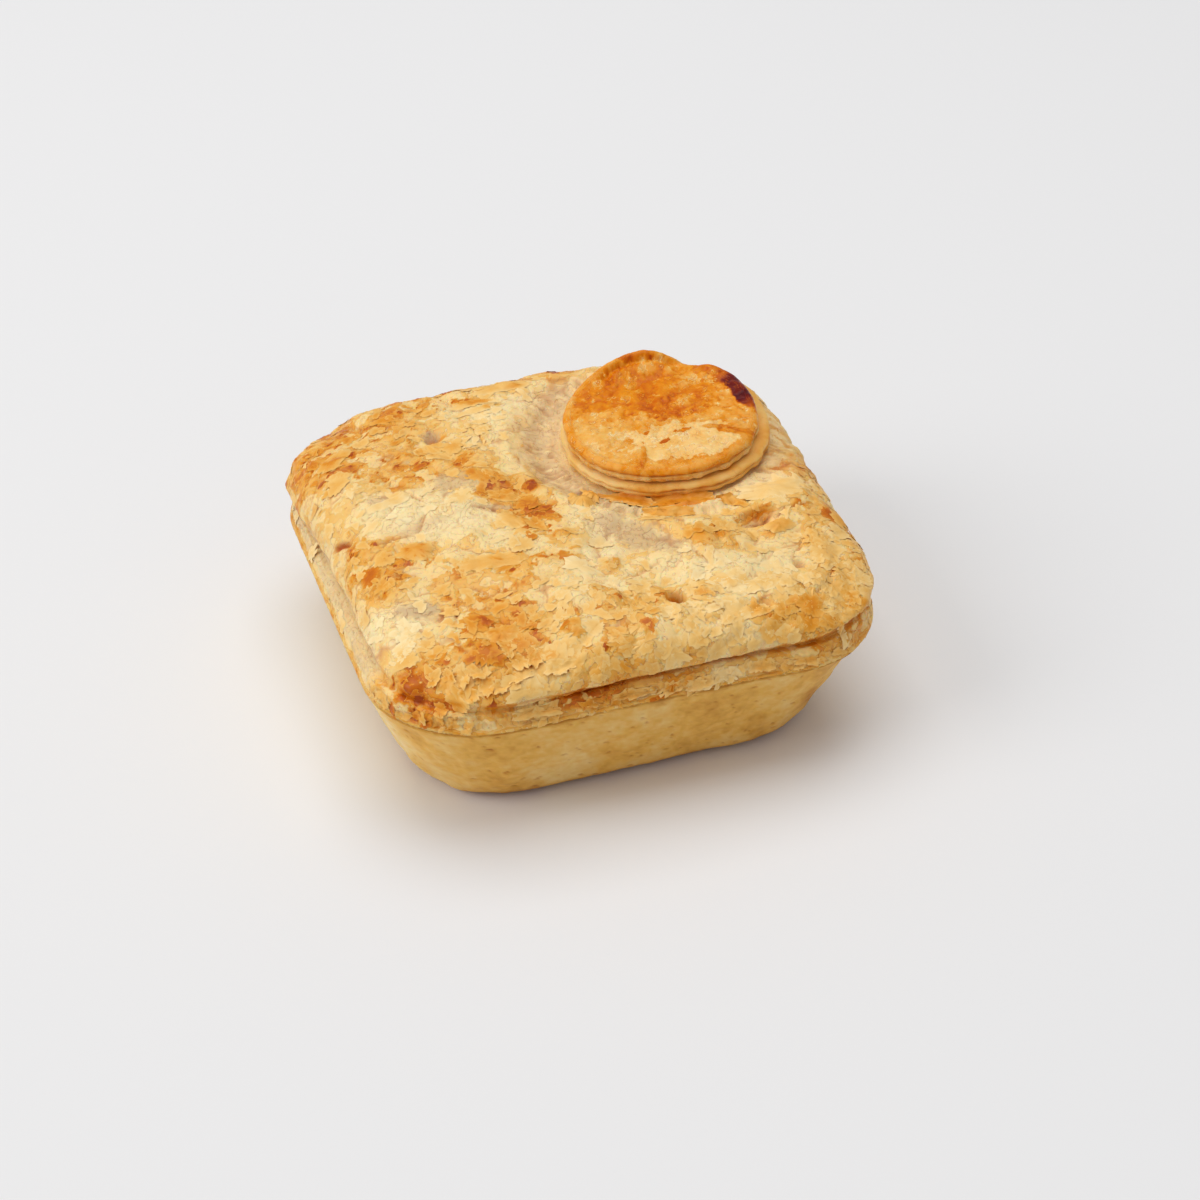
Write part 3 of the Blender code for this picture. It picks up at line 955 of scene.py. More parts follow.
    def border_z(self, edge: Numbers) -> Numbers:
        """Height of the lid's border, at its widest, at each place on it."""
        wave = np.array([noise.noise(Vector((x, y, 0.0)) / 14.0) for x, y in edge])
        level = self.shoulder_z + self.groove_slope * edge[:, 0] + 0.8 * wave
        return level - 0.6 * FLARE * corner_flare(edge)

    def side(self, turn: Numbers, levels: int) -> list[Numbers]:
        """Draws the border down through the groove and over the flange to the rim.

        Args:
            turn: Which way each point of the border lies, 0 to 4.
            levels: How many levels to draw.

        Returns:
            A place for each point of the border, level by level.
        """
        own = self.outline(turn)
        rim = rounded_square(turn, self.rim_half, self.rim_corner)
        rim = rim * (1.0 + FLARE_SHARE * corner_flare(rim))[:, None]
        rim_line = np.column_stack((rim, np.zeros(len(rim))))
        ragged = 0.1 + 0.5 * np.abs(Grain(16).layered(rim_line, 2.4, 3, 0.6))
        wave = np.array([noise.noise(Vector((x, y, 5.0)) / 20.0) for x, y in own])
        corners = np.abs(np.cos(math.pi * turn)) ** 6
        open_share = (0.50 + 0.5 * wave) * (1.0 - 0.72 * corners) * (1.0 - 0.4 * self.left_side(own))
        shut = 1.0 - 0.85 * self.sealed(own)
        lift = self.groove_slope * own[:, 0] - 0.9 * FLARE * corner_flare(own)
        lift = lift + 0.4 * np.array([noise.noise(Vector((x, y, 0.0)) / 14.0) for x, y in own])
        border = self.border_z(own)
        # Each stop of the profile: share of the groove's depth, height, share of the way to the rim.
        stops = (
            (0.00, border, 0.0),
            (0.16, border - 0.9, 0.05),
            (0.42, self.groove_z + 0.9 + lift, 0.2),
            (1.00, self.groove_z + 0.85 + lift, 0.55),
            (1.05, self.groove_z + 0.65 + lift, 0.7),
            (0.42, self.groove_z + 0.45 + lift, 0.85),
            (0.14, self.groove_z - 0.45 + lift, 0.95),
            (0.10, 0.5 * (self.groove_z + self.foot_z) - 0.6 + 0.5 * lift, 1.0),
            (0.06, self.foot_z + 0.5, 1.0),
            (-0.04, self.foot_z - ragged, 1.0),
            (0.30, np.full(len(turn), self.foot_z), 1.0),
        )
        drawn = []
        for number in range(1, levels + 1):
            place = number / levels * (len(stops) - 1)
            first = min(int(place), len(stops) - 2)
            part = place - first
            before, after = stops[first], stops[first + 1]
            depth = lerp(before[0], after[0], part) * self.groove_depth
            depth = np.where(depth > 1.0, 1.0 + (depth - 1.0) * open_share, depth) * shut
            height = lerp(before[1], after[1], part)
            flat = lerp(own, rim, lerp(before[2], after[2], part))
            flat = flat - flat / np.linalg.norm(flat, axis=1, keepdims=True) * depth[:, None]
            drawn.append(np.column_stack((flat, height)))
        return drawn

    def skin(self) -> Mesh:
        """Makes the lid's closed skin without its fine relief."""
        skin = Skin(self.divisions)
        side = self.side(skin.turn[skin.border], self.side_levels)
        return skin.build("puff_lid_skin", self.top(skin.turn, skin.ring), side)

    def tones(self, points: Numbers) -> tuple[Numbers, Numbers, Numbers]:
        """How the lid baked.

        Args:
            points: Places on the lid, in millimetres.

        Returns:
            For each place how far it baked, with painted shade darkening the vent holes, how many sheets
            of skin lie under it and how much grey dough shows.
        """
        stray = Grain(12).layered(points, 2.4, 3, 0.7)
        bake = 0.39 + 0.13 * Grain(11).layered(points, 12.0, 3, 0.6)
        for area in WIDE_AREAS:
            bake += 1.4 * area.bake * area.share(points, 0.35 * stray, 1.2)
        spots = np.zeros(len(points))
        for spot in BROWN_SPOTS:
            browned = spot.share(points, 0.35 * stray, 1.0)
            if spot.ring:
                browned -= spot.ring * spot.share(points, 0.25 * stray - 0.45, 0.6)
            spots = np.maximum(spots, spot.bake * browned)
            spots = np.maximum(spots, 0.40 * spot.bake * spot.share(points, 0.3 * stray - 0.2, 2.4))
        flecks = smooth((Grain(15).layered(points, 2.4, 3, 0.6) - 0.34) / 0.14) * smooth((bake - 0.40) / 0.10)
        spots = np.maximum(spots, 0.24 * flecks)
        on_top = np.maximum(smooth((points[:, 2] - self.groove_z - 1.0) / 1.0), self.sealed(points))
        bake += 0.07 * smooth((-points[:, 1] - 43.0) / 5.0)
        bake = np.minimum(bake + spots * on_top, 0.76 + 0.3 * (spots > 0.36) * (spots - 0.36))
        dough = np.zeros(len(points))
        for area in DOUGH_AREAS:
            dough = np.maximum(dough, area.bake * area.share(points, 0.5 * stray, 0.8))
        away = self.away_from_rounds(points)
        moat = smooth((self.moat_width + 2.0 - away) / 5.0) * smooth(away / 2.0 + 0.6)
        moat *= 0.35 + 0.65 * smooth((self.seat_centre[0] - 6.0 - points[:, 0]) / 12.0)
        band = smooth((self.groove_z + 2.0 - points[:, 2]) / 1.2) * smooth((points[:, 2] - 26.0) / 1.0)
        band *= 1.0 - self.sealed(points)
        left = self.left_side(points)
        dough = np.maximum(dough, 0.7 * moat * smooth(0.8 + 0.6 * stray))
        dough = np.maximum(dough, 0.50 * band * left * smooth(0.9 + 0.6 * stray))
        across, front = points[:, 0], smooth((-points[:, 1] - 40.0) / 6.0)
        scorch = smooth(1.4 - np.abs(across + 14.5) / 5.5) + 0.5 * smooth(1.4 - np.abs(across - 33.0) / 2.5)
        bake += band * (0.05 + 0.22 * scorch * front) * (1.0 - left) - 0.12 * moat
        bake = lerp(bake, 0.14, 0.8 * band * left)
        # Painted shade: the vent holes are darkened to a deep brown through their bake.
        holes = np.zeros(len(points))
        for x, y, radius, depth in self.vents:
            darkened = smooth(1.6 - np.hypot(points[:, 0] - x, points[:, 1] - y) / (0.8 * radius))
            holes = np.maximum(holes, darkened * smooth((depth - 0.9) / 1.8))
        bake = lerp(bake, 0.93, holes)
        bake = lerp(bake, 0.80, self.embers(points))
        cover = self.sheets(points) + 1.5 * (bake - 0.40) - 0.4 * moat + 1.5 * holes
        lip = smooth((self.foot_z + 0.8 - points[:, 2]) / 0.6)
        patch = smooth(1.4 - np.abs(across + 0.8) / 3.0) * front
        bake, cover = lerp(bake, 0.46 + 0.08 * stray + 0.18 * patch, lip), cover + lip
        dough *= 1.0 - lip
        return np.clip(bake, 0.0, 0.95), cover, np.clip(dough, 0.0, 1.0)

    def embers(self, points: Numbers, spread: float = 1.0) -> Numbers:
        """How much of the blister's dark middle each point has, spread wider if asked."""
        away = np.linalg.norm(points - self.ember[:3], axis=1) / self.ember[3]
        return smooth(1.5 - away / spread)

    def sealed(self, places: Numbers) -> Numbers:
        """How far the groove closed up at each place: wholly at the near left corner."""
        facing = np.degrees(np.arctan2(places[:, 1], places[:, 0]))
        return smooth((15.0 - np.abs(facing + 136.0)) / 7.0)

    def left_side(self, places: Numbers) -> Numbers:
        """How far each place is on the left side, where pale strings of dough show in the groove."""
        return smooth((-places[:, 0] - 38.0) / 6.0) * smooth((places[:, 1] + 36.0) / 6.0)

    def coat(self, mesh: Mesh, points: Numbers) -> Numbers:
        """Keeps the lid's tones on a mesh of it.

        Args:
            mesh: A mesh of the lid.
            points: The places to read, in millimetres.

        Returns:
            How many sheets of skin lie under each place.
        """
        bake, cover, dough = self.tones(points)
        mark(mesh, "bake", bake)
        mark(mesh, "cover", cover)
        mark(mesh, "dough", dough)
        return cover

    def sheets(self, points: Numbers) -> Numbers:
        """The field whose even steps are the torn edges of the skin's sheets, at each place."""
        return 0.85 * Grain(14).layered(points, 6.5, 5, 0.60)

    def puffs(self, points: Numbers) -> tuple[Numbers, Numbers]:
        """The pillows that rose between the folds.

        Args:
            points: Places on the lid, in millimetres.

        Returns:
            How far each place stands out and how deep in a fold it lies.
        """
        broad = np.abs(Grain(21).layered(points, 9.0, 2, 0.35))
        small = np.abs(Grain(22).layered(points, 4.2, 2, 0.4))
        fold = np.maximum(1.0 - broad / 0.07, 0.6 - small / 0.08)
        fold *= smooth(0.5 + 2.0 * Grain(24).at(points, 7.0))
        calm = self.calm(points)
        return (1.0 * broad**0.8 + 0.25 * small) * calm, np.clip(fold, 0.0, 1.0) * calm

    def calm(self, points: Numbers) -> Numbers:
        """How rough each place may be: 1 on the flaky skin, and less by the rounds and under the edge."""
        rough = 0.35 + 0.65 * smooth((self.away_from_rounds(points) - 3.0) / 4.0)
        rough *= 1.0 - 0.8 * self.blister.share(points, 0.0, 0.8)
        return rough * (0.45 + 0.55 * smooth((points[:, 2] - self.groove_z - 0.8) / 1.5))

    def relief(self, points: Numbers, cover: Numbers) -> tuple[Numbers, Numbers]:
        """The fine relief of the flaky skin.

        Args:
            points: Places on the lid, in millimetres.
            cover: The layer that says how many sheets lie under each place.

        Returns:
            How far each point stands out, and how much painted shade it takes in folds, valleys, slits, vent
            holes and the groove.
        """
        height, fold = self.puffs(points)
        calm = self.calm(points)
        # Painted shade in the folds between the pillows.
        crease = 0.55 * fold
        height += calm * terraces(cover / SHEET_SPACING, 0.18)
        height += calm * terraces(2.2 * Grain(31).layered(points, 3.0, 3, 0.55), 0.08)
        height += 0.03 * Grain(23).layered(points, 1.6, 2, 0.6) + 1.0 * self.embers(points, 1.3)
        stray = Grain(12).layered(points, 2.4, 3, 0.7)
        for spot in BROWN_SPOTS:
            if spot.swell:
                height += spot.swell * spot.share(points, 0.3 * stray, 1.2)
        away = self.away_from_rounds(points)
        facing = np.arctan2(points[:, 1] - self.seat_centre[1], points[:, 0] - self.seat_centre[0])
        wheel = np.column_stack((26.0 * np.cos(facing), 26.0 * np.sin(facing), 0.25 * away))
        rays = 1.0 - 2.0 * np.abs(Grain(25).layered(wheel, 2.4, 3, 0.6))
        moat = smooth((self.moat_width + 2.0 - away) / 4.0) * smooth(away - 0.5)
        height += 0.42 * rays * moat
        # Painted shade in the valleys of the wrinkles round the rounds.
        crease = np.maximum(crease, 0.40 * moat * smooth(0.5 - rays))
        x, y, *_ = self.vents[-1]
        dx, dy = points[:, 0] - x, points[:, 1] - y
        far, angle = np.hypot(dx, dy), np.arctan2(dy, dx)
        height += 0.20 * np.cos(8.0 * angle) * smooth(1.4 - np.abs(far - 2.4) / 1.6)
        on_top = smooth((points[:, 2] - self.shoulder_z - 2.0) / 2.0)
        # The slits are sunk and darkened with painted shade.
        for slit in SLITS:
            there = slit.bake * slit.share(points, 0.25 * stray, 1.0) * on_top
            height -= 0.9 * there
            crease = np.maximum(crease, there)
        # Painted shade in the vent holes.
        for x, y, radius, depth in self.vents:
            hole = np.hypot(points[:, 0] - x, points[:, 1] - y)
            crease = np.maximum(crease, min(0.42 * depth, 1.0) * smooth(1.6 - hole / (0.75 * radius)))
        layers = Grain(26).layered(points * (0.3, 0.3, 1.0), 0.9, 2, 0.6)
        flange = smooth((self.groove_z + 1.2 - points[:, 2]) / 0.8)
        torn = Grain(27).layered(points * (1.0, 1.0, 0.5), 1.8, 3, 0.6)
        height += (0.34 * layers + 0.40 * torn * (1.0 - 0.6 * self.left_side(points))) * flange
        # Painted shade in the groove under the overhanging border.
        shade = 1.0 - smooth(np.abs(points[:, 2] - self.groove_z - 1.1) / 0.9)
        shade *= 1.0 - self.sealed(points)
        return height, np.clip(np.maximum(crease, 0.5 * shade), 0.0, 1.0)

    def build(self, finish: Material) -> Piece:
        """Builds and dresses the lid.

        Args:
            finish: Its material.

        Returns:
            A copy of the lid for flakes to lie on, to be removed in the end.
        """
        mesh = self.skin()
        points, outward = points_of(mesh), outward_of(mesh)
        cover = self.coat(mesh, points)
        height, crease = self.relief(points, cover)
        move_points(mesh, points + outward * ((height - 0.55) * self.loose(points))[:, None])
        mark(mesh, "crease", crease)
        guide = self.guide(mesh, points, outward)
        mesh.materials.append(finish)
        show("puff_lid_skin", mesh, "puff_lid")
        return guide

    def loose(self, points: Numbers) -> Numbers:
        """How far the relief may move each place: not at all on the rim, and little in the groove."""
        narrow = 1.0 - 0.6 * smooth(1.0 - np.abs(points[:, 2] - self.groove_z - 0.2) / 1.2)
        return smooth((points[:, 2] - self.foot_z) / 1.2) * narrow

    def guide(self, skin: Mesh, points: Numbers, outward: Numbers) -> Piece:
        """Copies the lid, with how densely flakes lie on its top and along its edge.

        Args:
            skin: The lid's mesh.
            points: Its points before their fine relief, in millimetres.
            outward: The way out at each of them.

        Returns:
            The copy.
        """
        mesh = skin.copy()
        mark(mesh, "outward", outward)
        away = self.away_from_rounds(points)
        clear = smooth((away - 6.0) / 5.0)
        front = smooth((-points[:, 1] - 30.0) / 12.0) + 0.8 * smooth((points[:, 0] - 34.0) / 10.0)
        patches = smooth(2.0 * Grain(41).layered(points, 9.0, 2) - 0.2)
        up = smooth(outward[:, 2] * 2.0 + 0.8) * (points[:, 2] > self.groove_z + 3.0)
        clear = clear * (1.0 - self.hollow.share(points, 0.0, 1.0)) * (1.0 - self.blister.share(points))
        for x, y, radius, _ in self.vents:
            clear = clear * smooth(np.hypot(points[:, 0] - x, points[:, 1] - y) / radius - 1.0)
        mark(mesh, "top_cover", up * clear * (0.15 + 0.4 * patches + 0.6 * front))
        flange_z = self.groove_z - 0.9 - 0.9 * FLARE * corner_flare(points)
        band = smooth((points[:, 2] - self.foot_z - 0.3) / 0.6) * smooth((flange_z - points[:, 2]) / 0.6)
        band *= (1.0 - 0.7 * self.left_side(points)) * (1.0 - self.blister.share(points))
        shown = smooth(0.2 + 1.6 * Grain(42).layered(points, 9.0, 2))
        mark(mesh, "edge_cover", band * smooth(outward[:, 2] + 1.1) * (0.2 + shown))
        guide = bpy.data.objects.new("lid_guide", mesh)
        bpy.context.scene.collection.objects.link(guide)
        return guide


# ---------- Case ----------


# Browned patches of the case: the place, the radius and how much browner it is.
CASE_STAINS = (
    (39.0, -43.0, 6.0, 4.5, 0.20),
    (33.0, -47.0, 12.0, 5.0, 0.12),
    (24.0, -46.0, 7.0, 4.0, 0.10),
    (0.0, -52.0, 23.6, 2.6, 0.22),
    (-22.0, -44.0, 3.0, 5.0, 0.12),
    (-43.0, -36.0, 6.0, 5.0, 0.08),
)


@dataclass
class ShortcrustCase:
    """The smooth case: leaning walls, a rounded foot, and marks from the tin. Sizes in millimetres."""

    foot_half: tuple[float, float] = (41.9, 43.0)
    foot_corner: float = 19.0
    foot_rounding: float = 3.4
    rim_half: tuple[float, float] = (52.0, 52.6)
    rim_corner: float = 23.0
    rim_z: float = 24.8
    rim_lip: float = 0.9
    belly: float = 0.4
    fold_spacing: float = 7.0
    fold_depth: float = 0.35
    divisions: int = 150
    wall_levels: int = 54

    def level(self, turn: Numbers, share: float, inward: float = 0.0, drop: float = 0.0) -> Numbers:
        """An outline of the wall.

        Args:
            turn: Which way each point lies, 0 to 4.
            share: How high it lies, 0 at the foot and 1 at the rim.
            inward: How far inside the wall it lies.
            drop: How far it is let down.

        Returns:
            A place for each point.
        """
        half = tuple(lerp(f, r, share) - inward for f, r in zip(self.foot_half, self.rim_half))
        corner = lerp(self.foot_corner, self.rim_corner, share) - inward
        flat = rounded_square(turn, half, corner)
        flat = flat * (1.0 + self.belly * math.sin(math.pi * share) / max(half))
        flat = flat * (1.0 + FLARE_SHARE * share**6 * corner_flare(flat))[:, None]
        return np.column_stack((flat, np.full(len(turn), self.rim_z * share - drop)))

    def folds(self, points: Numbers, turn_angle: Numbers) -> Numbers:
        """Depth of the upright folds where the sheet was pushed into the tin's corners.

        Args:
            points: Places on the case.
            turn_angle: The direction of each place from the middle, in degrees.

        Returns:
            How far each place is pushed in.
        """
        corner = np.abs(np.abs(((turn_angle + 45.0) % 90.0) - 45.0) - 45.0)
        near = smooth((22.0 - corner) / 14.0)
        run = points * (1.0, 1.0, 0.12)
        return self.fold_depth * near * np.abs(Grain(51).layered(run, self.fold_spacing, 2))

    def build(self, finish: Material) -> Piece:
        """Builds and dresses the case.

        Args:
            finish: Its material.

        Returns:
            The piece, which stands for the case's solid.
        """
        skin = Skin(self.divisions)
        rim = self.level(skin.turn, 1.0, self.rim_lip)
        top = rim * np.column_stack((skin.ring, skin.ring, np.ones(len(rim))))
        turn = skin.turn[skin.border]
        foot_share = self.foot_rounding / self.rim_z
        levels = [self.level(turn, 1.0, 0.35, 0.12), self.level(turn, 1.0, 0.05, 0.45)]
        levels += [self.level(turn, share) for share in np.linspace(0.955, foot_share, self.wall_levels)]
        for angle in np.radians(np.linspace(10.0, 90.0, 9)):
            share = foot_share * (1.0 - math.sin(angle))
            levels.append(self.level(turn, share, self.foot_rounding * (1.0 - math.cos(angle))))
        foot = levels[-1]
        levels += [foot * (0.8, 0.8, 1.0), foot * (0.4, 0.4, 1.0)]
        mesh = skin.build("case_crust", top, levels)
        self.dress(mesh, points_of(mesh), outward_of(mesh))
        mesh.materials.append(finish)
        return show("case_crust", mesh, "base_crust")

    def dress(self, mesh: Mesh, points: Numbers, outward: Numbers) -> None:
        """Adds the wall's dents, folds and pores, keeps how far each place baked, and paints shade into the
        pores.

        Args:
            mesh: The case's mesh.
            points: Its points in millimetres.
            outward: The way out at each point.
        """
        facing = np.degrees(np.arctan2(points[:, 1], points[:, 0]))
        wall = smooth(points[:, 2] / 2.0) * smooth((self.rim_z - points[:, 2]) / 0.8)
        broad = Grain(52).layered(points * (1.0, 1.0, 1.4), 10.0, 3, 0.5)
        fine = Grain(53).layered(points, 1.5, 3, 0.6)
        pits = smooth((Grain(54).at(points * (1.0, 1.0, 1.8), 1.5) - 0.58) / 0.10)
        height = 0.32 * broad + 0.07 * fine - 0.22 * pits - self.folds(points, facing)
        move_points(mesh, points + outward * (height * wall)[:, None])
        stain = Grain(55).layered(points * (1.0, 1.0, 0.8), 11.0, 4, 0.6)
        near_rim = smooth((points[:, 2] - self.rim_z + 1.3) / 0.9)
        near_foot = smooth((4.0 - points[:, 2]) / 4.0)
        bake = 0.43 + 0.15 * stain + 0.16 * near_rim + 0.24 * near_foot + 0.09 * fine
        bake -= 0.26 * smooth((-points[:, 0] - 38.0) / 8.0) * smooth((points[:, 1] + 42.0) / 8.0)
        for x, y, z, radius, more in CASE_STAINS:
            away = np.linalg.norm(points - (x, y, z), axis=1) / radius
            bake += more * smooth(1.3 - away + 0.4 * stain)
        mark(mesh, "bake", np.clip(bake, 0.0, 1.0))
        mark(mesh, "cover", np.ones(len(points)))
        mark(mesh, "dough", 0.08 * smooth(0.4 - 1.2 * stain) * wall)
        # Painted shade in the pores.
        mark(mesh, "crease", 0.5 * pits * wall)


# ---------- Rounds ----------


@dataclass
class PastryRound:
    """A round of puff pastry on the lid. Sizes in millimetres, directions in degrees.

    Args:
        name: The piece's name.
        node: The solid that it stands for.
        slot: The record's material slot; not used.
        radius: Its radius.
        thickness: Its thickness.
        shift: How far it lies from the middle of the seat.
        lift: How far its underside lies above the seat.
        crest: How far its back edge curls up.
        blister: How high its blisters are.
        divisions: How finely its top is divided.
        crest_direction: Where the crest's highest place is.
        blister_size: How far apart its blisters are.
        crack_direction: Where the crack in its side is deepest.
        crack_share: How high that crack is, as a share of the thickness.
        trims: Where its outline strays from a circle: direction, share of the radius and spread.
        lid: The lid that it lies on.
    """

    name: str
    node: str
    slot: str
    radius: float
    thickness: float
    shift: tuple[float, float]
    lift: float
    crest: float = 0.0
    blister: float = 0.0
    divisions: int = 200
    crest_direction: float = 78.0
    blister_size: float = 6.4
    crack_direction: float = -100.0
    crack_share: float = 0.545
    trims: tuple[tuple[float, float, float], ...] = (
        (82.0, 0.04, 18.0), (52.0, -0.04, 9.0), (22.0, 0.04, 12.0), (0.0, 0.01, 14.0), (-60.0, 0.03, 35.0),
        (-150.0, 0.05, 28.0),
    )
    lid: PuffLid = field(default_factory=PuffLid)

    def curl(self, flat: Numbers) -> Numbers:
        """How far the edge curls up at each place: steeply at the crest's right end, and a little beyond."""
        facing = np.degrees(np.arctan2(flat[:, 1], flat[:, 0]))
        crest = smooth((facing - self.crest_direction + 24.0) / 22.0) * smooth(
            (self.crest_direction + 62.0 - facing) / 62.0
        )
        return self.crest * (1.25 * crest + 0.35 * smooth(1.0 - np.abs(facing - 36.0) / 14.0))

    def level(self, turn: Numbers, inward: float | Numbers, height: float, curl: float = 0.0) -> Numbers:
        """An outline of the round, not quite circular.

        Args:
            turn: Which way each point lies, 0 to 4.
            inward: How far inside the widest outline it lies.
            height: How high it lies.
            curl: Which share of the edge's curl it has.

        Returns:
            A place for each point.
        """
        whole = rounded_square(turn, (self.radius, self.radius), self.radius)
        wave = np.array([noise.noise(Vector((x, y, self.radius)) / 12.0) for x, y in whole])
        facing = np.degrees(np.arctan2(whole[:, 1], whole[:, 0]))
        trim = sum(cut * np.exp(-(((facing - at) / wide) ** 2)) for at, cut, wide in self.trims)
        flat = whole * ((1.0 - np.asarray(inward) / self.radius) * (1.0 + 0.03 * wave + trim))[:, None]
        return np.column_stack((flat, height + curl * self.curl(flat)))

    def profile(self, turn: Numbers) -> list[Numbers]:
        """The side: a swollen top edge, the crack where the skin parted, and the layers under it.

        Args:
            turn: Which way each point of the border lies, 0 to 4.

        Returns:
            A place for each point, level by level.
        """
        whole = rounded_square(turn, (self.radius, self.radius), self.radius)
        facing = np.degrees(np.arctan2(whole[:, 1], whole[:, 0])) - self.crack_direction
        front = smooth((110.0 - np.abs((facing + 180.0) % 360.0 - 180.0)) / 40.0)
        wander = 0.05 * Grain(61).at(np.column_stack((whole, np.zeros(len(turn)))), 5.0)
        stops = (
            (0.80, 0.97, 0.98), (0.42, 0.92, 0.95), (0.18, 0.85, 0.92), (0.04, 0.77, 0.88), (0.0, 0.70, 0.82),
            (0.10, 0.62, 0.76), (0.35, 0.57, 0.72), (0.60, self.crack_share, 0.7),
            (0.50, 0.52, 0.66), (0.14, 0.47, 0.6),
            (0.02, 0.40, 0.45), (0.06, 0.31, 0.25), (0.16, 0.25, 0.12), (0.12, 0.18, 0.05), (0.34, 0.10, 0.0),
            (0.70, 0.03, 0.0), (1.30, 0.0, 0.0),
        )
        levels = []
        for inward, share, curl in stops:
            crack = 0.5 < share < 0.6
            deep = inward * (0.30 + 0.70 * front) if crack else np.full(len(turn), inward)
            places = self.level(turn, deep, share * self.thickness, curl)
            places[:, 2] += wander * self.thickness * (0.0 < share < 0.9)
            levels.append(places)
        return levels

    def relief(self, points: Numbers) -> Numbers:
        """Blisters, and low wrinkles that run to the edge.

        Args:
            points: Places on the round, in its own frame.

        Returns:
            How far each point stands out.
        """
        reach = np.hypot(points[:, 0], points[:, 1]) / self.radius
        middle = 1.0 - 0.6 * reach**6
        flat = points * (1.0, 1.0, 0.0)
        angle = np.arctan2(points[:, 1], points[:, 0])
        wheel = np.column_stack((18.0 * np.cos(angle), 18.0 * np.sin(angle), 0.3 * self.radius * reach))
        rays = 1.0 - 2.0 * np.abs(Grain(64).layered(wheel, 3.0, 3, 0.6))
        outer = smooth((reach - 0.55) / 0.3) * smooth((1.02 - reach) / 0.08)
        broad = 0.7 * self.blister * Grain(63).layered(flat, 7.5, 2, 0.5)
        facing = np.degrees(angle) - self.crest_direction
        roll = smooth((34.0 - np.abs(facing - 8.0)) / 12.0)
        fold = smooth(1.0 - np.abs(reach - 0.86 - 0.02 * rays) / 0.05)
        fold -= 0.8 * smooth(1.0 - np.abs(reach - 0.95) / 0.07)
        broad = broad - 1.6 * self.blister * roll * fold
        return broad + 1.3 * self.blister * self.lumps(points) * middle + 0.22 * self.blister * rays * outer

    def lumps(self, points: Numbers) -> Numbers:
        """The blisters of the skin, from 0 between them up to about 1, at each place."""
        flat = points * (1.0, 1.0, 0.0)
        shaken = flat + 1.3 * Grain(66).layered(flat, 2.0, 2)[:, None]
        return np.abs(Grain(62).layered(shaken, self.blister_size, 2, 0.35)) ** 0.75

    def placed(self) -> Matrix:
        """Where the round's own frame lies on the seat."""
        slope = self.lid.seat_slope
        upright = Vector((-slope[0], -slope[1], 1.0)).normalized()
        turn = Vector((0.0, 0.0, 1.0)).rotation_difference(upright).to_matrix().to_4x4()
        x, y = self.lid.seat_centre[0] + self.shift[0], self.lid.seat_centre[1] + self.shift[1]
        seat = self.lid.seat(np.array([[x, y]]))[0]
        return Matrix.Translation((Vector((x, y, seat)) + upright * self.lift) * MM) @ turn

    def build(self, finish: Material, baking: Baking) -> Piece:
        """Builds and dresses the round.

        Args:
            finish: Its material.
            baking: Gives how far it baked, and where its skin is whole, at each place of its own frame.

        Returns:
            The piece, which stands for the round's solid.
        """
        skin = Skin(self.divisions)
        rim = self.level(skin.turn, 1.2, 0.0)
        flat = rim[:, :2] * skin.ring[:, None]
        height = self.thickness + self.curl(flat) * smooth(2.5 * skin.ring - 1.5)
        mesh = skin.build(self.name, np.column_stack((flat, height)), self.profile(skin.turn[skin.border]))
        points, outward = points_of(mesh), outward_of(mesh)
        upper = smooth((points[:, 2] / self.thickness - 0.6) / 0.3)
        layers = Grain(65).at(points * (1.0, 1.0, 9.0), 6.0)
        side = smooth(points[:, 2] / 0.4) * (1.0 - upper)
        folds = Grain(67).layered(points * (1.0, 1.0, 0.4), 3.6, 2, 0.6)
        lifted = self.relief(points) * upper + (0.16 * layers + 0.45 * folds) * side
        move_points(mesh, points + outward * lifted[:, None])
        bake, cover = baking(points)
        bake = bake + 0.15 * (0.40 - self.lumps(points)) * (self.blister > 0.0) * smooth(bake * 4.0 - 1.2)
        # Painted shade in the crack along the side.
        crack = smooth(1.0 - np.abs(points[:, 2] / self.thickness - self.crack_share) / 0.06)
        mark(mesh, "bake", np.clip(bake, 0.0, 1.0))
        mark(mesh, "cover", cover)
        mark(mesh, "dough", np.zeros(len(points)))
        mark(mesh, "crease", crack * smooth((self.radius - np.hypot(points[:, 0], points[:, 1])) / 0.8))
        mesh.materials.append(finish)
        mesh.transform(self.placed())
        return show(self.name, mesh, self.node)


# Patches of the upper round, in its own frame: browned and paler areas, flecks, and the place that
# the glaze left bare.
ROUND_PATCHES = (
    Spot(-2.0, 9.0, 15.0, 8.0, 0.12, -19),
    Spot(2.0, 1.5, 9.0, 3.5, 0.07, -19),
    Spot(-14.0, -5.0, 5.0, 9.0, -0.08, -20),
    Spot(1.6, 20.0, 4.5, 2.0, 0.24, -10),
    Spot(7.5, 20.5, 3.0, 2.2, -0.06, -30),
)
ROUND_FLECKS = (
    Spot(-0.5, -2.1, 1.4, 1.0, 0.20),
    Spot(2.4, -7.8, 1.7, 0.8, 0.16, -5),
    Spot(-2.9, -10.2, 1.3, 0.6, 0.20, 20),
    Spot(-5.4, -6.0, 0.8, 0.5, 0.20, 30),
    Spot(12.4, -12.4, 3.8, 1.0, 0.12, -25),
    Spot(9.0, -9.5, 3.0, 0.7, 0.06, -30),
    Spot(-8.7, -13.0, 3.5, 0.6, 0.06, 70),
)
ROUND_BARE = Spot(1.0, -11.3, 12.5, 6.8, 0.0, -14)


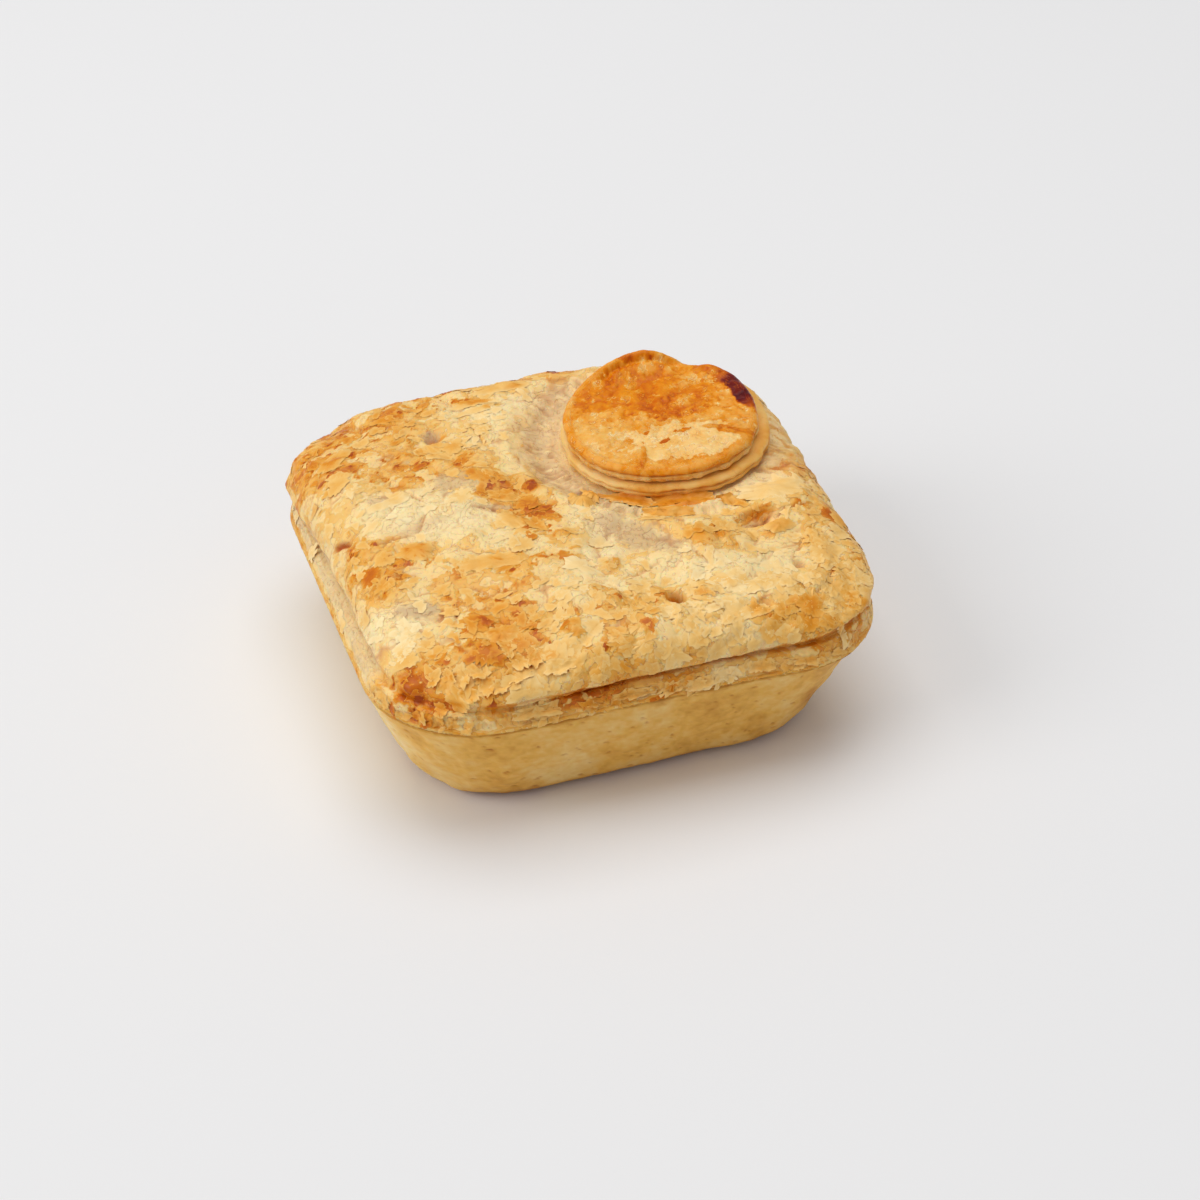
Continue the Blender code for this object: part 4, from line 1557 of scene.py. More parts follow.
@dataclass(frozen=True)
class GlazedBaking:
    """How the upper round baked: a burnt edge at the right, a browned back and a bare front."""

    radius: float = 20.6
    burn_direction: float = 5.0
    burn_reach: float = 19.0

    def __call__(self, points: Numbers) -> tuple[Numbers, Numbers]:
        """How far each place of the round's own frame baked, and where the glazed skin is.

        Args:
            points: The places, one row each.

        Returns:
            For each place a number from 0, raw, to 1, burnt, and one that is above 0 where it is glazed.
        """
        stray = Grain(71).layered(points, 2.2, 4, 0.7)
        away = np.hypot(points[:, 0], points[:, 1])
        facing = np.degrees(np.arctan2(points[:, 1], points[:, 0]))
        clouds = Grain(72).layered(points + 1.2 * stray[:, None], 3.2, 3, 0.6)
        bake = 0.46 + 0.10 * clouds
        for patch in ROUND_PATCHES:
            bake += patch.bake * patch.share(points, 0.35 * stray, 0.8)
        rim = smooth((away - self.radius + 1.8) / 1.4)
        bake = lerp(bake, 0.47 + 0.06 * stray, 0.7 * rim)
        cover = 0.9 - 1.5 * ROUND_BARE.share(points, 0.25 * stray, 0.7) + 0.3 * clouds + 0.8 * rim
        for fleck in ROUND_FLECKS:
            there = fleck.share(points, 0.4 * stray, 0.5)
            bake += fleck.bake * there
            cover += 1.2 * there
        off = (facing - self.burn_direction + 180.0) % 360.0 - 180.0
        deep = self.radius - 4.4 - 0.5 * stray + 1.6 * (np.abs(off) / self.burn_reach) ** 2
        darkened = smooth(1.5 - np.abs(off) / self.burn_reach) * smooth((away - deep) / 0.8)
        brown = smooth(1.5 - np.abs(off - 16.0) / 26.0)
        brown *= smooth((away - self.radius + 5.0 + 0.8 * stray) / 2.5)
        bake = lerp(bake + 0.16 * brown, 0.93 + 0.05 * stray, darkened)
        lower = smooth((1.9 - points[:, 2]) / 0.6) * (1.0 - darkened)
        return lerp(bake, 0.34 + 0.08 * stray, lower), cover + lower


def pale_baking(points: Numbers) -> tuple[Numbers, Numbers]:
    """How the lower round baked, which is hardly at all, with painted shade darkening its front right.

    Args:
        points: Places of the round's own frame, one row each.

    Returns:
        For each place a number from 0, raw, to 1, burnt, and one that is above 0 where its skin is whole.
    """
    # Browner towards the front right: partly real browning, partly painted shade under the upper round.
    browning_and_shade = 0.14 * smooth((points[:, 0] - points[:, 1] + 6.0) / 16.0)
    clouds = Grain(73).layered(points * (1.0, 1.0, 3.0), 7.0, 3, 0.6)
    return 0.30 + browning_and_shade + 0.16 * clouds, np.ones(len(points))


# ---------- Flakes ----------


class FlakeKind(Enum):
    """The kinds of loose flake, each of them a piece of its own."""

    SMALL = "small_flakes"
    LARGE = "large_flakes"
    EDGE = "edge_flakes"


@dataclass(frozen=True)
class FlakeShape:
    """One ragged flake about 1 across each way from its middle, as a thin lens.

    Args:
        number: Which of the shapes it is.
        sides: How many points its edge has.
        rings: How many rings lie between its middle and its edge.
    """

    number: int
    sides: int
    rings: int

    def edge(self) -> Numbers:
        """The ragged outline.

        Returns:
            One row (x, y) for each point of the edge.
        """
        dice = np.random.default_rng(900 + self.number)
        angle = (np.arange(self.sides) + 0.7 * (dice.random(self.sides) - 0.5)) * 2.0 * math.pi / self.sides
        radius = np.ones(self.sides)
        for wave in (2, 3, 5):
            radius += 0.46 / wave**0.6 * np.cos(wave * angle + dice.random() * 6.3) * dice.random()
        radius *= 1.0 + 0.40 * (dice.random(self.sides) - 0.5)
        stretch = 1.0 + 0.5 * dice.random()
        return np.column_stack((radius * np.cos(angle) * stretch, radius * np.sin(angle) / stretch))

    def build(self) -> Piece:
        """Makes the flake, closed and without thickness at its edge.

        Returns:
            A template that is instanced and never shown itself.
        """
        edge = self.edge()
        shares = np.linspace(0.0, 1.0, self.rings + 2)[1:]
        flat = np.concatenate([[[0.0, 0.0]]] + [edge * share for share in shares] + [[[0.0, 0.0]]])
        rim = np.concatenate([[0.0]] + [np.full(self.sides, share) for share in shares] + [[0.0]])
        half = np.concatenate([[1.0]] + [np.full(self.sides, float(s < 1.0)) for s in shares] + [[-1.0]])
        dice = np.random.default_rng(950 + self.number)
        bend = dice.random() * math.pi
        along = flat[:, 0] * math.cos(bend) + flat[:, 1] * math.sin(bend)
        rise = 0.06 * along**2 + 0.04 * rim**4 + 0.05 * (dice.random(len(flat)) - 0.5) * (rim > 0.6)
        faces = [[0, 1 + n, 1 + (n + 1) % self.sides] for n in range(self.sides)]
        for ring in range(self.rings):
            inner, outer = 1 + ring * self.sides, 1 + (ring + 1) * self.sides
            for n in range(self.sides):
                after = (n + 1) % self.sides
                faces.append([inner + n, outer + n, outer + after, inner + after])
        outer = 1 + self.rings * self.sides
        faces += [[len(flat) - 1, outer + (n + 1) % self.sides, outer + n] for n in range(self.sides)]
        mesh = bpy.data.meshes.new(f"flake_shape_{self.number}")
        mesh.from_pydata(np.column_stack((flat, np.zeros(len(flat)))).tolist(), [], faces)
        mark(mesh, "rise", rise)
        mark(mesh, "half", half)
        mark(mesh, "tip", rim)
        mark(mesh, "along", flat[:, 0])
        return bpy.data.objects.new(mesh.name, mesh)


@dataclass(frozen=True)
class FlakeScatter:
    """Loose flakes scattered over the lid by Geometry Nodes. Sizes in millimetres.

    Args:
        kind: Which kind of flake.
        cover: The guide's layer that says where they lie.
        density: How many lie on a square millimetre where the cover is 1.
        smallest: The least radius.
        largest: The greatest radius.
        lift: How far the highest is raised.
        tilt: How steeply one may stand.
        sides: How many points a flake's edge has.
        rings: How many rings each flake has.
        seed: Which of the endless scatters this one is.
        thickness: Half the thickness in the middle.
        shapes: How many different shapes there are.
        edge_angle: How sharp an edge has to be to stay sharp, in degrees.
    """

    kind: FlakeKind
    cover: str
    density: float
    smallest: float
    largest: float
    lift: float
    tilt: float
    sides: int
    rings: int
    seed: int
    thickness: float = 0.035
    shapes: int = 14
    edge_angle: float = 35.0

    def tree(self) -> bpy.types.NodeTree:
        """Makes the tree that scatters, lays and colours the flakes.

        Returns:
            The tree, with named inputs for every size.
        """
        tree = bpy.data.node_groups.new(self.kind.value, "GeometryNodeTree")
        numbers = ("Density", "Smallest", "Largest", "Thickness", "Lift", "Tilt")
        kinds = {"Geometry": "Geometry", "Shapes": "Collection"} | dict.fromkeys(numbers, "Float")
        for name, kind in (kinds | {"Seed": "Int", "Finish": "Material"}).items():
            tree.interface.new_socket(name=name, in_out="INPUT", socket_type=f"NodeSocket{kind}")
        tree.interface.new_socket(name="Geometry", in_out="OUTPUT", socket_type="NodeSocketGeometry")
        given = tree.nodes.new("NodeGroupInput").outputs
        garden = NodeGarden(tree)
        spread = garden.sum("MULTIPLY", given["Density"], garden.named(self.cover))
        scatter = garden.node(
            "GeometryNodeDistributePointsOnFaces",
            {"distribute_method": "RANDOM"},
            {"Mesh": given["Geometry"], "Density": spread, "Seed": given["Seed"]},
        )
        small = garden.sum("POWER", garden.chance(0.0, 1.0, 1), 1.8)
        room = garden.sum("SUBTRACT", given["Largest"], given["Smallest"])
        size = garden.sum("MULTIPLY_ADD", room, small)
        garden.join(given["Smallest"], size.node.inputs[2])
        points = garden.keep(scatter.outputs["Points"], "flake_size", size)
        lowest = {"flake_lift": 0.0, "flake_tilt": -1.0, "flake_curl": -0.3, "flake_tone": -1.0}
        for seed, (name, low) in enumerate(lowest.items(), 2):
            points = garden.keep(points, name, garden.chance(low, 1.0, seed))
        shapes = garden.node(
            "GeometryNodeCollectionInfo",
            {},
            {"Collection": given["Shapes"], "Separate Children": True, "Reset Children": True},
        )
        angle = garden.chance(0.0, 2.0 * math.pi, 6)
        spin = garden.node("FunctionNodeAxisAngleToRotation", {}, {"Angle": angle})
        turned = garden.node(
            "FunctionNodeRotateRotation",
            {"rotation_space": "LOCAL"},
            {"Rotation": scatter.outputs["Rotation"], "Rotate By": spin.outputs[0]},
        )
        inputs = {"Points": points, "Instance": shapes.outputs[0], "Pick Instance": True}
        placed = garden.node("GeometryNodeInstanceOnPoints", {}, inputs | {"Rotation": turned.outputs[0]})
        garden.join(size, placed.inputs["Scale"])
        real = garden.node("GeometryNodeRealizeInstances", {}, {"Geometry": placed.outputs[0]})
        laid = self.lay(garden, given, real.outputs[0])
        dressed = garden.node("GeometryNodeSetMaterial", {}, {"Geometry": laid, "Material": given["Finish"]})
        out = tree.nodes.new("NodeGroupOutput")
        garden.join(dressed.outputs[0], out.inputs[0])
        return tree

    def lay(self, garden: "NodeGarden", given: object, flakes: Socket) -> Socket:
        """Lays every flake on the lid, raised, tilted and curled, and gives it its tone, paler at its rim
        with a painted highlight along it.

        Args:
            garden: The tree being made.
            given: The tree's inputs.
            flakes: The realised flakes, still flat.

        Returns:
            The laid flakes.
        """
        place = garden.node("GeometryNodeInputPosition", {}, {}).outputs[0]
        under = garden.nearest(given["Geometry"], place, place)
        outward = garden.nearest(given["Geometry"], garden.named("outward", "FLOAT_VECTOR"), place)
        bend = garden.sum("MULTIPLY", garden.named("rise"), garden.named("flake_curl"))
        lean = garden.sum("MULTIPLY", garden.named("along"), garden.named("flake_tilt"))
        lean = garden.sum("MULTIPLY", lean, given["Tilt"])
        shape = garden.sum("MULTIPLY", garden.sum("ADD", bend, lean), garden.named("flake_size"))
        height = garden.sum("ADD", shape, garden.sum("MULTIPLY", garden.named("flake_lift"), given["Lift"]))
        height = garden.sum("ADD", height, garden.sum("MULTIPLY", garden.named("half"), given["Thickness"]))
        there = garden.vector("ADD", {0: under, 1: garden.vector("SCALE", {0: outward, "Scale": height})})
        laid = garden.node("GeometryNodeSetPosition", {}, {"Geometry": flakes, "Position": there})
        tone = garden.sum("MULTIPLY", garden.named("flake_tone"), 0.08)
        # Paler towards the rim: a thin edge, with a painted highlight along it.
        tip = garden.sum("MULTIPLY", garden.sum("POWER", garden.named("tip"), 3.0), -0.13)
        bake = garden.sum("ADD", garden.sum("ADD", garden.named("bake"), tone), tip)
        return garden.keep(laid.outputs[0], "bake", bake)

    def build(self, guide: Piece, finish: Material) -> Piece:
        """Scatters the flakes and turns them into one plain mesh.

        Args:
            guide: The smooth lid that they lie on.
            finish: Their material.

        Returns:
            The piece.
        """
        shapes = bpy.data.collections.new(f"{self.kind.value}_shapes")
        for number in range(self.shapes):
            shapes.objects.link(FlakeShape(number + 20 * self.seed, self.sides, self.rings).build())
        modifier = guide.modifiers.new(self.kind.value, "NODES")
        modifier.node_group = self.tree()
        values = {
            "Shapes": shapes, "Density": self.density / MM**2, "Smallest": self.smallest * MM,
            "Largest": self.largest * MM, "Thickness": self.thickness * MM, "Lift": self.lift * MM,
            "Tilt": self.tilt, "Seed": self.seed, "Finish": finish,
        }
        for item in modifier.node_group.interface.items_tree:
            if item.in_out == "INPUT" and item.name in values:
                modifier[item.identifier] = values[item.name]
        graph = bpy.context.evaluated_depsgraph_get()
        mesh = bpy.data.meshes.new_from_object(guide.evaluated_get(graph), depsgraph=graph)
        mesh.name = self.kind.value
        guide.modifiers.remove(modifier)
        for template in list(shapes.objects):
            bpy.data.objects.remove(template)
        bpy.data.collections.remove(shapes)
        for layer in [a.name for a in mesh.attributes if not a.is_required]:
            if layer not in ("bake", "sharp_face", "material_index"):
                mesh.attributes.remove(mesh.attributes[layer])
        mark(mesh, "cover", np.ones(len(mesh.vertices)))
        mesh.shade_smooth()
        mesh.set_sharp_from_angle(angle=math.radians(self.edge_angle))
        return show(self.kind.value, mesh)


class NodeGarden(NodeBench):
    """Short ways to add the nodes of a Geometry Nodes tree."""

    def chance(self, low: float, high: float, seed: int) -> Socket:
        """A seeded random number for each point or flake."""
        node = self.node("FunctionNodeRandomValue", {"data_type": "FLOAT"}, {"Seed": seed})
        node.inputs[2].default_value = low
        node.inputs[3].default_value = high
        return node.outputs[1]

    def named(self, name: str, kind: str = "FLOAT") -> Socket:
        """What the geometry keeps under that name."""
        node = self.node("GeometryNodeInputNamedAttribute", {"data_type": kind}, {"Name": name})
        return node.outputs[0]

    def keep(self, geometry: Socket, name: str, value: Socket) -> Socket:
        """Keeps a number for each point of the geometry under that name."""
        settings = {"data_type": "FLOAT", "domain": "POINT"}
        inputs = {"Geometry": geometry, "Name": name, "Value": value}
        return self.node("GeometryNodeStoreNamedAttribute", settings, inputs).outputs[0]

    def nearest(self, mesh: Socket, value: Socket, place: Socket) -> Socket:
        """The direction or place that the mesh holds at its point nearest to a place."""
        inputs = {"Mesh": mesh, "Value": value, "Sample Position": place}
        return self.node("GeometryNodeSampleNearestSurface", {"data_type": "FLOAT_VECTOR"}, inputs).outputs[0]


FLAKES = (
    FlakeScatter(FlakeKind.SMALL, "top_cover", 0.40, 0.4, 1.6, 0.08, 0.07, sides=16, rings=1, seed=3),
    FlakeScatter(FlakeKind.LARGE, "top_cover", 0.06, 1.3, 3.0, 0.06, 0.02, sides=32, rings=3, seed=5),
    FlakeScatter(FlakeKind.EDGE, "edge_cover", 0.80, 0.6, 1.7, 0.16, 0.16, sides=20, rings=2, seed=7),
)


# Half the thickness of a torn sheet in its middle.
SHEET_THICKNESS = 0.04
# From how much crumple on a sheet stands free, and from how much on it keeps its own colour.
FREE_CRUMPLE = 0.2
OWN_CRUMPLE = 0.24


@dataclass(frozen=True)
class TornSheet:
    """One torn sheet of skin, laid as listed. Sizes in millimetres, directions in degrees.

    Args:
        x: Where its middle is, to the right.
        y: Where its middle is, to the back.
        z: How high its middle is.
        length: Half its length.
        width: Half its width.
        turn: Which way its length runs.
        bake: How far it baked.
        lift: How far it lies above the lid.
        curl: How far one edge is raised above that.
        curl_turn: Which edge that is, as a direction from the middle.
        bend: Its centre line's radius, or 0 where that is straight.
        ragged: How torn its outline is.
        dome: How far its middle is swollen.
        crumple: How far it is crumpled.
    """

    x: float
    y: float
    z: float
    length: float
    width: float
    turn: float
    bake: float
    lift: float = 0.1
    curl: float = 0.5
    curl_turn: float = -90.0
    bend: float = 0.0
    ragged: float = 0.22
    dome: float = 0.0
    crumple: float = 0.06

    def flat(self, sides: int, rings: int) -> tuple[Numbers, Numbers]:
        """The sheet laid out flat.

        Args:
            sides: How many points each ring has.
            rings: How many rings there are.

        Returns:
            One row (x, y) for each point, the middle first, and each point's share of the way to the edge.
        """
        seed = int(abs(self.x * 37 + self.y * 91)) % 997
        angle = np.arange(sides) * 2.0 * math.pi / sides
        circle = np.column_stack((np.cos(angle), np.sin(angle), np.full(sides, float(seed))))
        jag = Grain(81).at(circle, 0.9) + 0.7 * Grain(82).at(circle, 0.36) + 0.5 * Grain(83).at(circle, 0.15)
        boxy = (np.abs(np.cos(angle)) ** 3 + np.abs(np.sin(angle)) ** 3) ** (-1 / 3)
        radius = boxy * (1.0 + self.ragged * jag)
        share = np.repeat(np.arange(1, rings + 1) / rings, sides)
        outline = np.column_stack((radius * np.cos(angle) * self.length, radius * np.sin(angle) * self.width))
        flat = np.concatenate(([[0.0, 0.0]], np.tile(outline, (rings, 1)) * share[:, None]))
        return flat, np.concatenate(([0.0], share))

    def heights(self, flat: Numbers, share: Numbers) -> Numbers:
        """How far each point of the sheet lies above the lid.

        Args:
            flat: The sheet laid out flat.
            share: Each point's share of the way to the edge.

        Returns:
            A height for each point.
        """
        raised = math.radians(self.curl_turn - self.turn)
        along = flat[:, 0] / self.length * math.cos(raised) + flat[:, 1] / self.width * math.sin(raised)
        wave = Grain(84).at(np.column_stack((flat, np.full(len(flat), self.x))), 1.8)
        curl = self.curl * smooth(along) ** 2 * (1.0 + 0.5 * wave)
        part = 0.12 if self.crumple < FREE_CRUMPLE else 0.8
        return part * (self.lift + curl) + self.dome * (1.0 - share**2) + self.crumple * wave * share

    def lay(self, lid: BVHTree, sides: int = 72, rings: int = 8) -> tuple[Numbers, list[list[int]], Numbers]:
        """Lays the sheet on the lid.

        Args:
            lid: The lid that it lies on.
            sides: How many points each ring has.
            rings: How many rings there are.

        Returns:
            Its points, its faces and each point's share of the way to the edge.
        """
        flat, share = self.flat(sides, rings)
        height = self.heights(flat, share)
        if self.bend:
            round_it = flat[:, 0] / self.bend
            out = self.bend + flat[:, 1]
            flat = np.column_stack((out * np.sin(round_it), out * np.cos(round_it) - self.bend))
        spot, normal, _, _ = lid.find_nearest(Vector((self.x, self.y, self.z)))
        right = Vector((math.cos(math.radians(self.turn)), math.sin(math.radians(self.turn)), 0.0))
        up = normal.cross(right).normalized()
        right = up.cross(normal).normalized()
        laid = [[], []]
        for (a, b), rise, out in zip(flat, height, share):
            place, facing, _, _ = lid.find_nearest(spot + right * a + up * b)
            facing = (facing + 2.0 * normal).normalized()
            thick = SHEET_THICKNESS * (1.0 - out**4)
            laid[0].append(place + facing * (rise + thick))
            laid[1].append(place + facing * (rise - thick))
        faces = [[0, 1 + n, 1 + (n + 1) % sides] for n in range(sides)]
        for ring in range(rings - 1):
            a, b = 1 + ring * sides, 1 + (ring + 1) * sides
            faces += [[a + n, b + n, b + (n + 1) % sides, a + (n + 1) % sides] for n in range(sides)]
        inner = 1 + (rings - 1) * sides
        under = {n: len(flat) + n for n in range(inner)}
        faces += [[under.get(n, n) for n in reversed(face)] for face in faces]
        points = np.array([list(p) for p in laid[0]] + [list(p) for p in laid[1][:inner]])
        return points, faces, np.concatenate((share, share[:inner]))


def small_scale(
    x: float, y: float, z: float, length: float, width: float, turn: float, bake: float,
    curl: float = 0.9, curl_turn: float = -90.0, ragged: float = 0.36,
) -> TornSheet:
    """A small and lightly crumpled scale of skin. All of its sizes are those of a torn sheet."""
    return TornSheet(x, y, z, length, width, turn, bake, 0.10, curl, curl_turn, 0.0, ragged, 0.0, 0.22)


# The curled orange skin before the rounds, the plates and the flakes that stand out by their size.
SHEETS = (
    TornSheet(1.6, -3.4, 38.6, 4.6, 3.0, 60, 0.56, 0.0, 0.5, 150, 0.0, 0.30, 1.2, 0.80),
    TornSheet(5.4, 0.6, 38.2, 4.2, 2.2, 50, 0.60, 0.1, 0.8, 150, 0.0, 0.34, 1.3, 0.70),
    TornSheet(12.4, -2.6, 38.0, 6.4, 1.4, -36, 0.70, 0.0, 1.2, 60, 26.0, 0.26, 0.3, 0.30),
    TornSheet(23.0, -8.4, 38.4, 7.0, 2.8, -12, 0.72, 0.0, 1.5, 80, -28.0, 0.22, 0.5, 0.28),
    TornSheet(30.2, -11.4, 39.3, 3.4, 1.5, -16, 0.60, 0.0, 0.8, 80, 0.0, 0.34, 0.2, 0.30),
    TornSheet(12.2, -7.2, 38.5, 6.0, 1.7, -34, 0.63, 0.0, 0.2, -120, 0.0, 0.30, 0.3, 0.25),
    TornSheet(18.0, -11.4, 38.8, 6.0, 1.7, -22, 0.61, 0.0, 0.2, -100, 0.0, 0.30, 0.3, 0.25),
    TornSheet(40.0, -11.5, 39.8, 7.0, 4.0, -5, 0.34, 0.0, 0.6, 180, 0.0, 0.30, 0.5, 0.18),
    TornSheet(37.0, -23.4, 38.3, 3.4, 2.2, 20, 0.52, 0.2, 0.5, -90, 0.0, 0.2, 0.5),
    TornSheet(-35.2, -9.6, 39.6, 3.9, 2.8, -40, 0.56, 0.0, 0.3, -20, 0.0, 0.26, 0.6, 0.15),
    TornSheet(-22.0, -18.6, 40.4, 6.4, 2.4, -8, 0.46, 0.0, 0.5, -95, 0.0, 0.32, 0.3, 0.16),
    TornSheet(-35.8, 7.4, 40.7, 4.6, 1.5, 22, 0.30, 0.5, 0.8, 20, 0.0, 0.28),
    TornSheet(-21.2, 20.9, 40.8, 3.2, 1.9, -15, 0.38, 0.35, 0.3, -90, 0.0, 0.16),
    TornSheet(-23.8, 25.0, 40.9, 2.4, 1.6, 20, 0.36, 0.3, 0.3, -90, 0.0, 0.16),
    TornSheet(-8.2, 39.4, 42.0, 5.6, 1.6, -4, 0.46, 0.3, 0.8, -90, 30.0, 0.16),
    TornSheet(-9.6, 36.0, 42.0, 5.6, 1.3, 0, 0.40, 0.3, 0.8, -90, 24.0, 0.16),
    TornSheet(-10.0, 31.0, 41.8, 3.2, 1.4, 10, 0.40, 0.3, 0.7, -90, 14.0, 0.16),
    TornSheet(-1.0, 44.0, 41.8, 7.0, 2.0, -3, 0.44, 0.3, 0.7, -90, 40.0, 0.16, 0.4),
    TornSheet(-42.0, 30.0, 39.6, 4.6, 2.2, 40, 0.48, 0.3, 0.5, -60, 0.0, 0.2, 0.3),
    TornSheet(-13.0, 9.0, 42.0, 3.4, 1.5, -40, 0.42, 0.25, 0.5, -100),
    TornSheet(-16.0, 13.5, 41.6, 2.8, 1.6, -30, 0.40, 0.25, 0.5, -80),
    TornSheet(-13.5, 1.8, 41.6, 3.2, 1.6, -30, 0.46, 0.25, 0.5, -80),
    TornSheet(-14.0, -6.5, 41.0, 3.4, 2.4, -50, 0.46, 0.2, 0.5, -40, 0.0, 0.2, 0.3),
    TornSheet(-34.0, -32.5, 37.0, 3.0, 1.4, -40, 0.42, 0.3, 0.9, -60, 7.0, 0.2),
    TornSheet(-26.5, -39.0, 37.6, 3.6, 2.6, 10, 0.46, 0.2, 0.4, -60, 0.0, 0.2, 0.5),
    small_scale(-41.1, -43.0, 33.4, 1.9, 1.2, 60, 0.32, 0.8, -60),
    small_scale(-38.6, -44.2, 34.2, 1.7, 1.1, 100, 0.36, 0.9, -40),
    small_scale(-36.5, -45.6, 34.3, 2.1, 1.2, 70, 0.36, 0.9, -60),
    small_scale(-34.0, -45.8, 35.2, 2.2, 1.2, -40, 0.38),
    small_scale(-36.2, -48.6, 32.6, 2.2, 1.4, 110, 0.44),
    small_scale(-32.6, -48.4, 33.4, 2.3, 1.3, 60, 0.40),
    small_scale(-29.8, -49.2, 33.3, 2.4, 1.3, 20, 0.34),
    small_scale(-38.6, -48.0, 31.0, 2.6, 1.6, 80, 0.44, 0.8),
    small_scale(-41.0, -46.8, 28.5, 2.4, 1.3, 70, 0.44, 0.8),
    small_scale(-39.4, -49.0, 27.0, 2.6, 1.2, 80, 0.38, 0.6),
    small_scale(-25.5, -45.5, 35.4, 2.3, 1.4, 100, 0.36, 0.8),
    small_scale(-22.4, -45.6, 35.5, 2.3, 1.4, 80, 0.34, 0.8),
    small_scale(-26.5, -48.6, 34.0, 2.6, 1.3, 10, 0.34, 0.8),
    small_scale(-18.0, -48.8, 34.6, 3.0, 1.4, 5, 0.30, 0.7),
    TornSheet(26.2, -40.4, 37.9, 4.2, 2.2, 10, 0.24, 0.25, 0.8, -90, 0.0, 0.34),
    TornSheet(32.0, -41.0, 37.7, 2.8, 1.8, 20, 0.26, 0.25, 0.8, -90, 0.0, 0.34),
    TornSheet(39.4, -49.2, 29.4, 1.2, 3.6, 14, 0.22, 0.1, 0.6, -90, 0.0, 0.42, 0.0, 0.25),
    TornSheet(43.0, -33.0, 36.8, 4.6, 3.4, 50, 0.32, 0.25, 0.8, -60, 0.0, 0.28),
    TornSheet(40.5, -42.5, 35.4, 3.4, 1.7, 55, 0.46, 0.3, 0.8, -60, 0.0, 0.3),
    TornSheet(45.5, -38.5, 34.6, 3.4, 1.6, 60, 0.48, 0.3, 0.8, -40, 0.0, 0.3),
    TornSheet(30.5, -47.0, 35.8, 3.4, 1.7, 15, 0.42, 0.3, 0.8, -90, 0.0, 0.3),
    TornSheet(22.5, -47.5, 36.2, 3.4, 1.7, 5, 0.40, 0.3, 0.8, -90, 0.0, 0.3),
    small_scale(11.0, -51.4, 26.9, 4.4, 1.3, 5, 0.26, 0.7, -90, 0.42),
    small_scale(21.7, -51.4, 27.4, 2.8, 1.3, 8, 0.34, 0.7, -90, 0.42),
    small_scale(4.4, -51.7, 26.8, 4.0, 1.0, 5, 0.32, 0.7, -90, 0.42),
    small_scale(-4.5, -51.4, 26.8, 4.6, 1.0, 5, 0.36, 0.7, -90, 0.42),
    small_scale(-13.0, -51.2, 26.8, 4.4, 1.0, 5, 0.42, 0.7, -90, 0.42),
    small_scale(31.0, -51.0, 27.4, 3.8, 1.0, 12, 0.40, 0.7, -90, 0.42),
    small_scale(-24.0, -50.6, 27.0, 4.6, 1.0, -2, 0.36, 0.7, -90, 0.42),
)


def lay_sheets(own_lid: PuffLid, guide: Piece, finish: Material) -> Piece:
    """Lays the torn sheets on the lid as one piece.

    Args:
        own_lid: The lid whose tones they take on.
        guide: Its mesh.
        finish: Their material.

    Returns:
        The piece.
    """
    corners = [Vector(row) for row in points_of(guide.data)]
    lid = BVHTree.FromPolygons(corners, [tuple(face.vertices) for face in guide.data.polygons])
    points, faces, bakes = [], [], []
    count = 0
    for sheet in SHEETS:
        own, own_faces, share = sheet.lay(lid)
        points.append(own)
        faces += [[count + n for n in face] for face in own_faces]
        around = own_lid.tones(own)[0]
        own_bake = sheet.bake + 0.10 * Grain(85).layered(own, 2.2, 3, 0.6)
        keeps = 0.8 if sheet.crumple > OWN_CRUMPLE else 0.4
        # Paler at the edge: a thin rim, with a painted highlight along it.
        bakes.append(lerp(around, own_bake, keeps) - 0.16 * share**5)
        count += len(own)
    mesh = bpy.data.meshes.new("torn_sheets")
    mesh.from_pydata(np.concatenate(points) * MM, [], faces)
    mark(mesh, "bake", np.clip(np.concatenate(bakes), 0.0, 1.0))
    mark(mesh, "cover", np.ones(count))
    mesh.shade_smooth()
    mesh.set_sharp_from_angle(angle=math.radians(40.0))
    mesh.materials.append(finish)
    return show("torn_sheets", mesh)


# ---------- Studio ----------


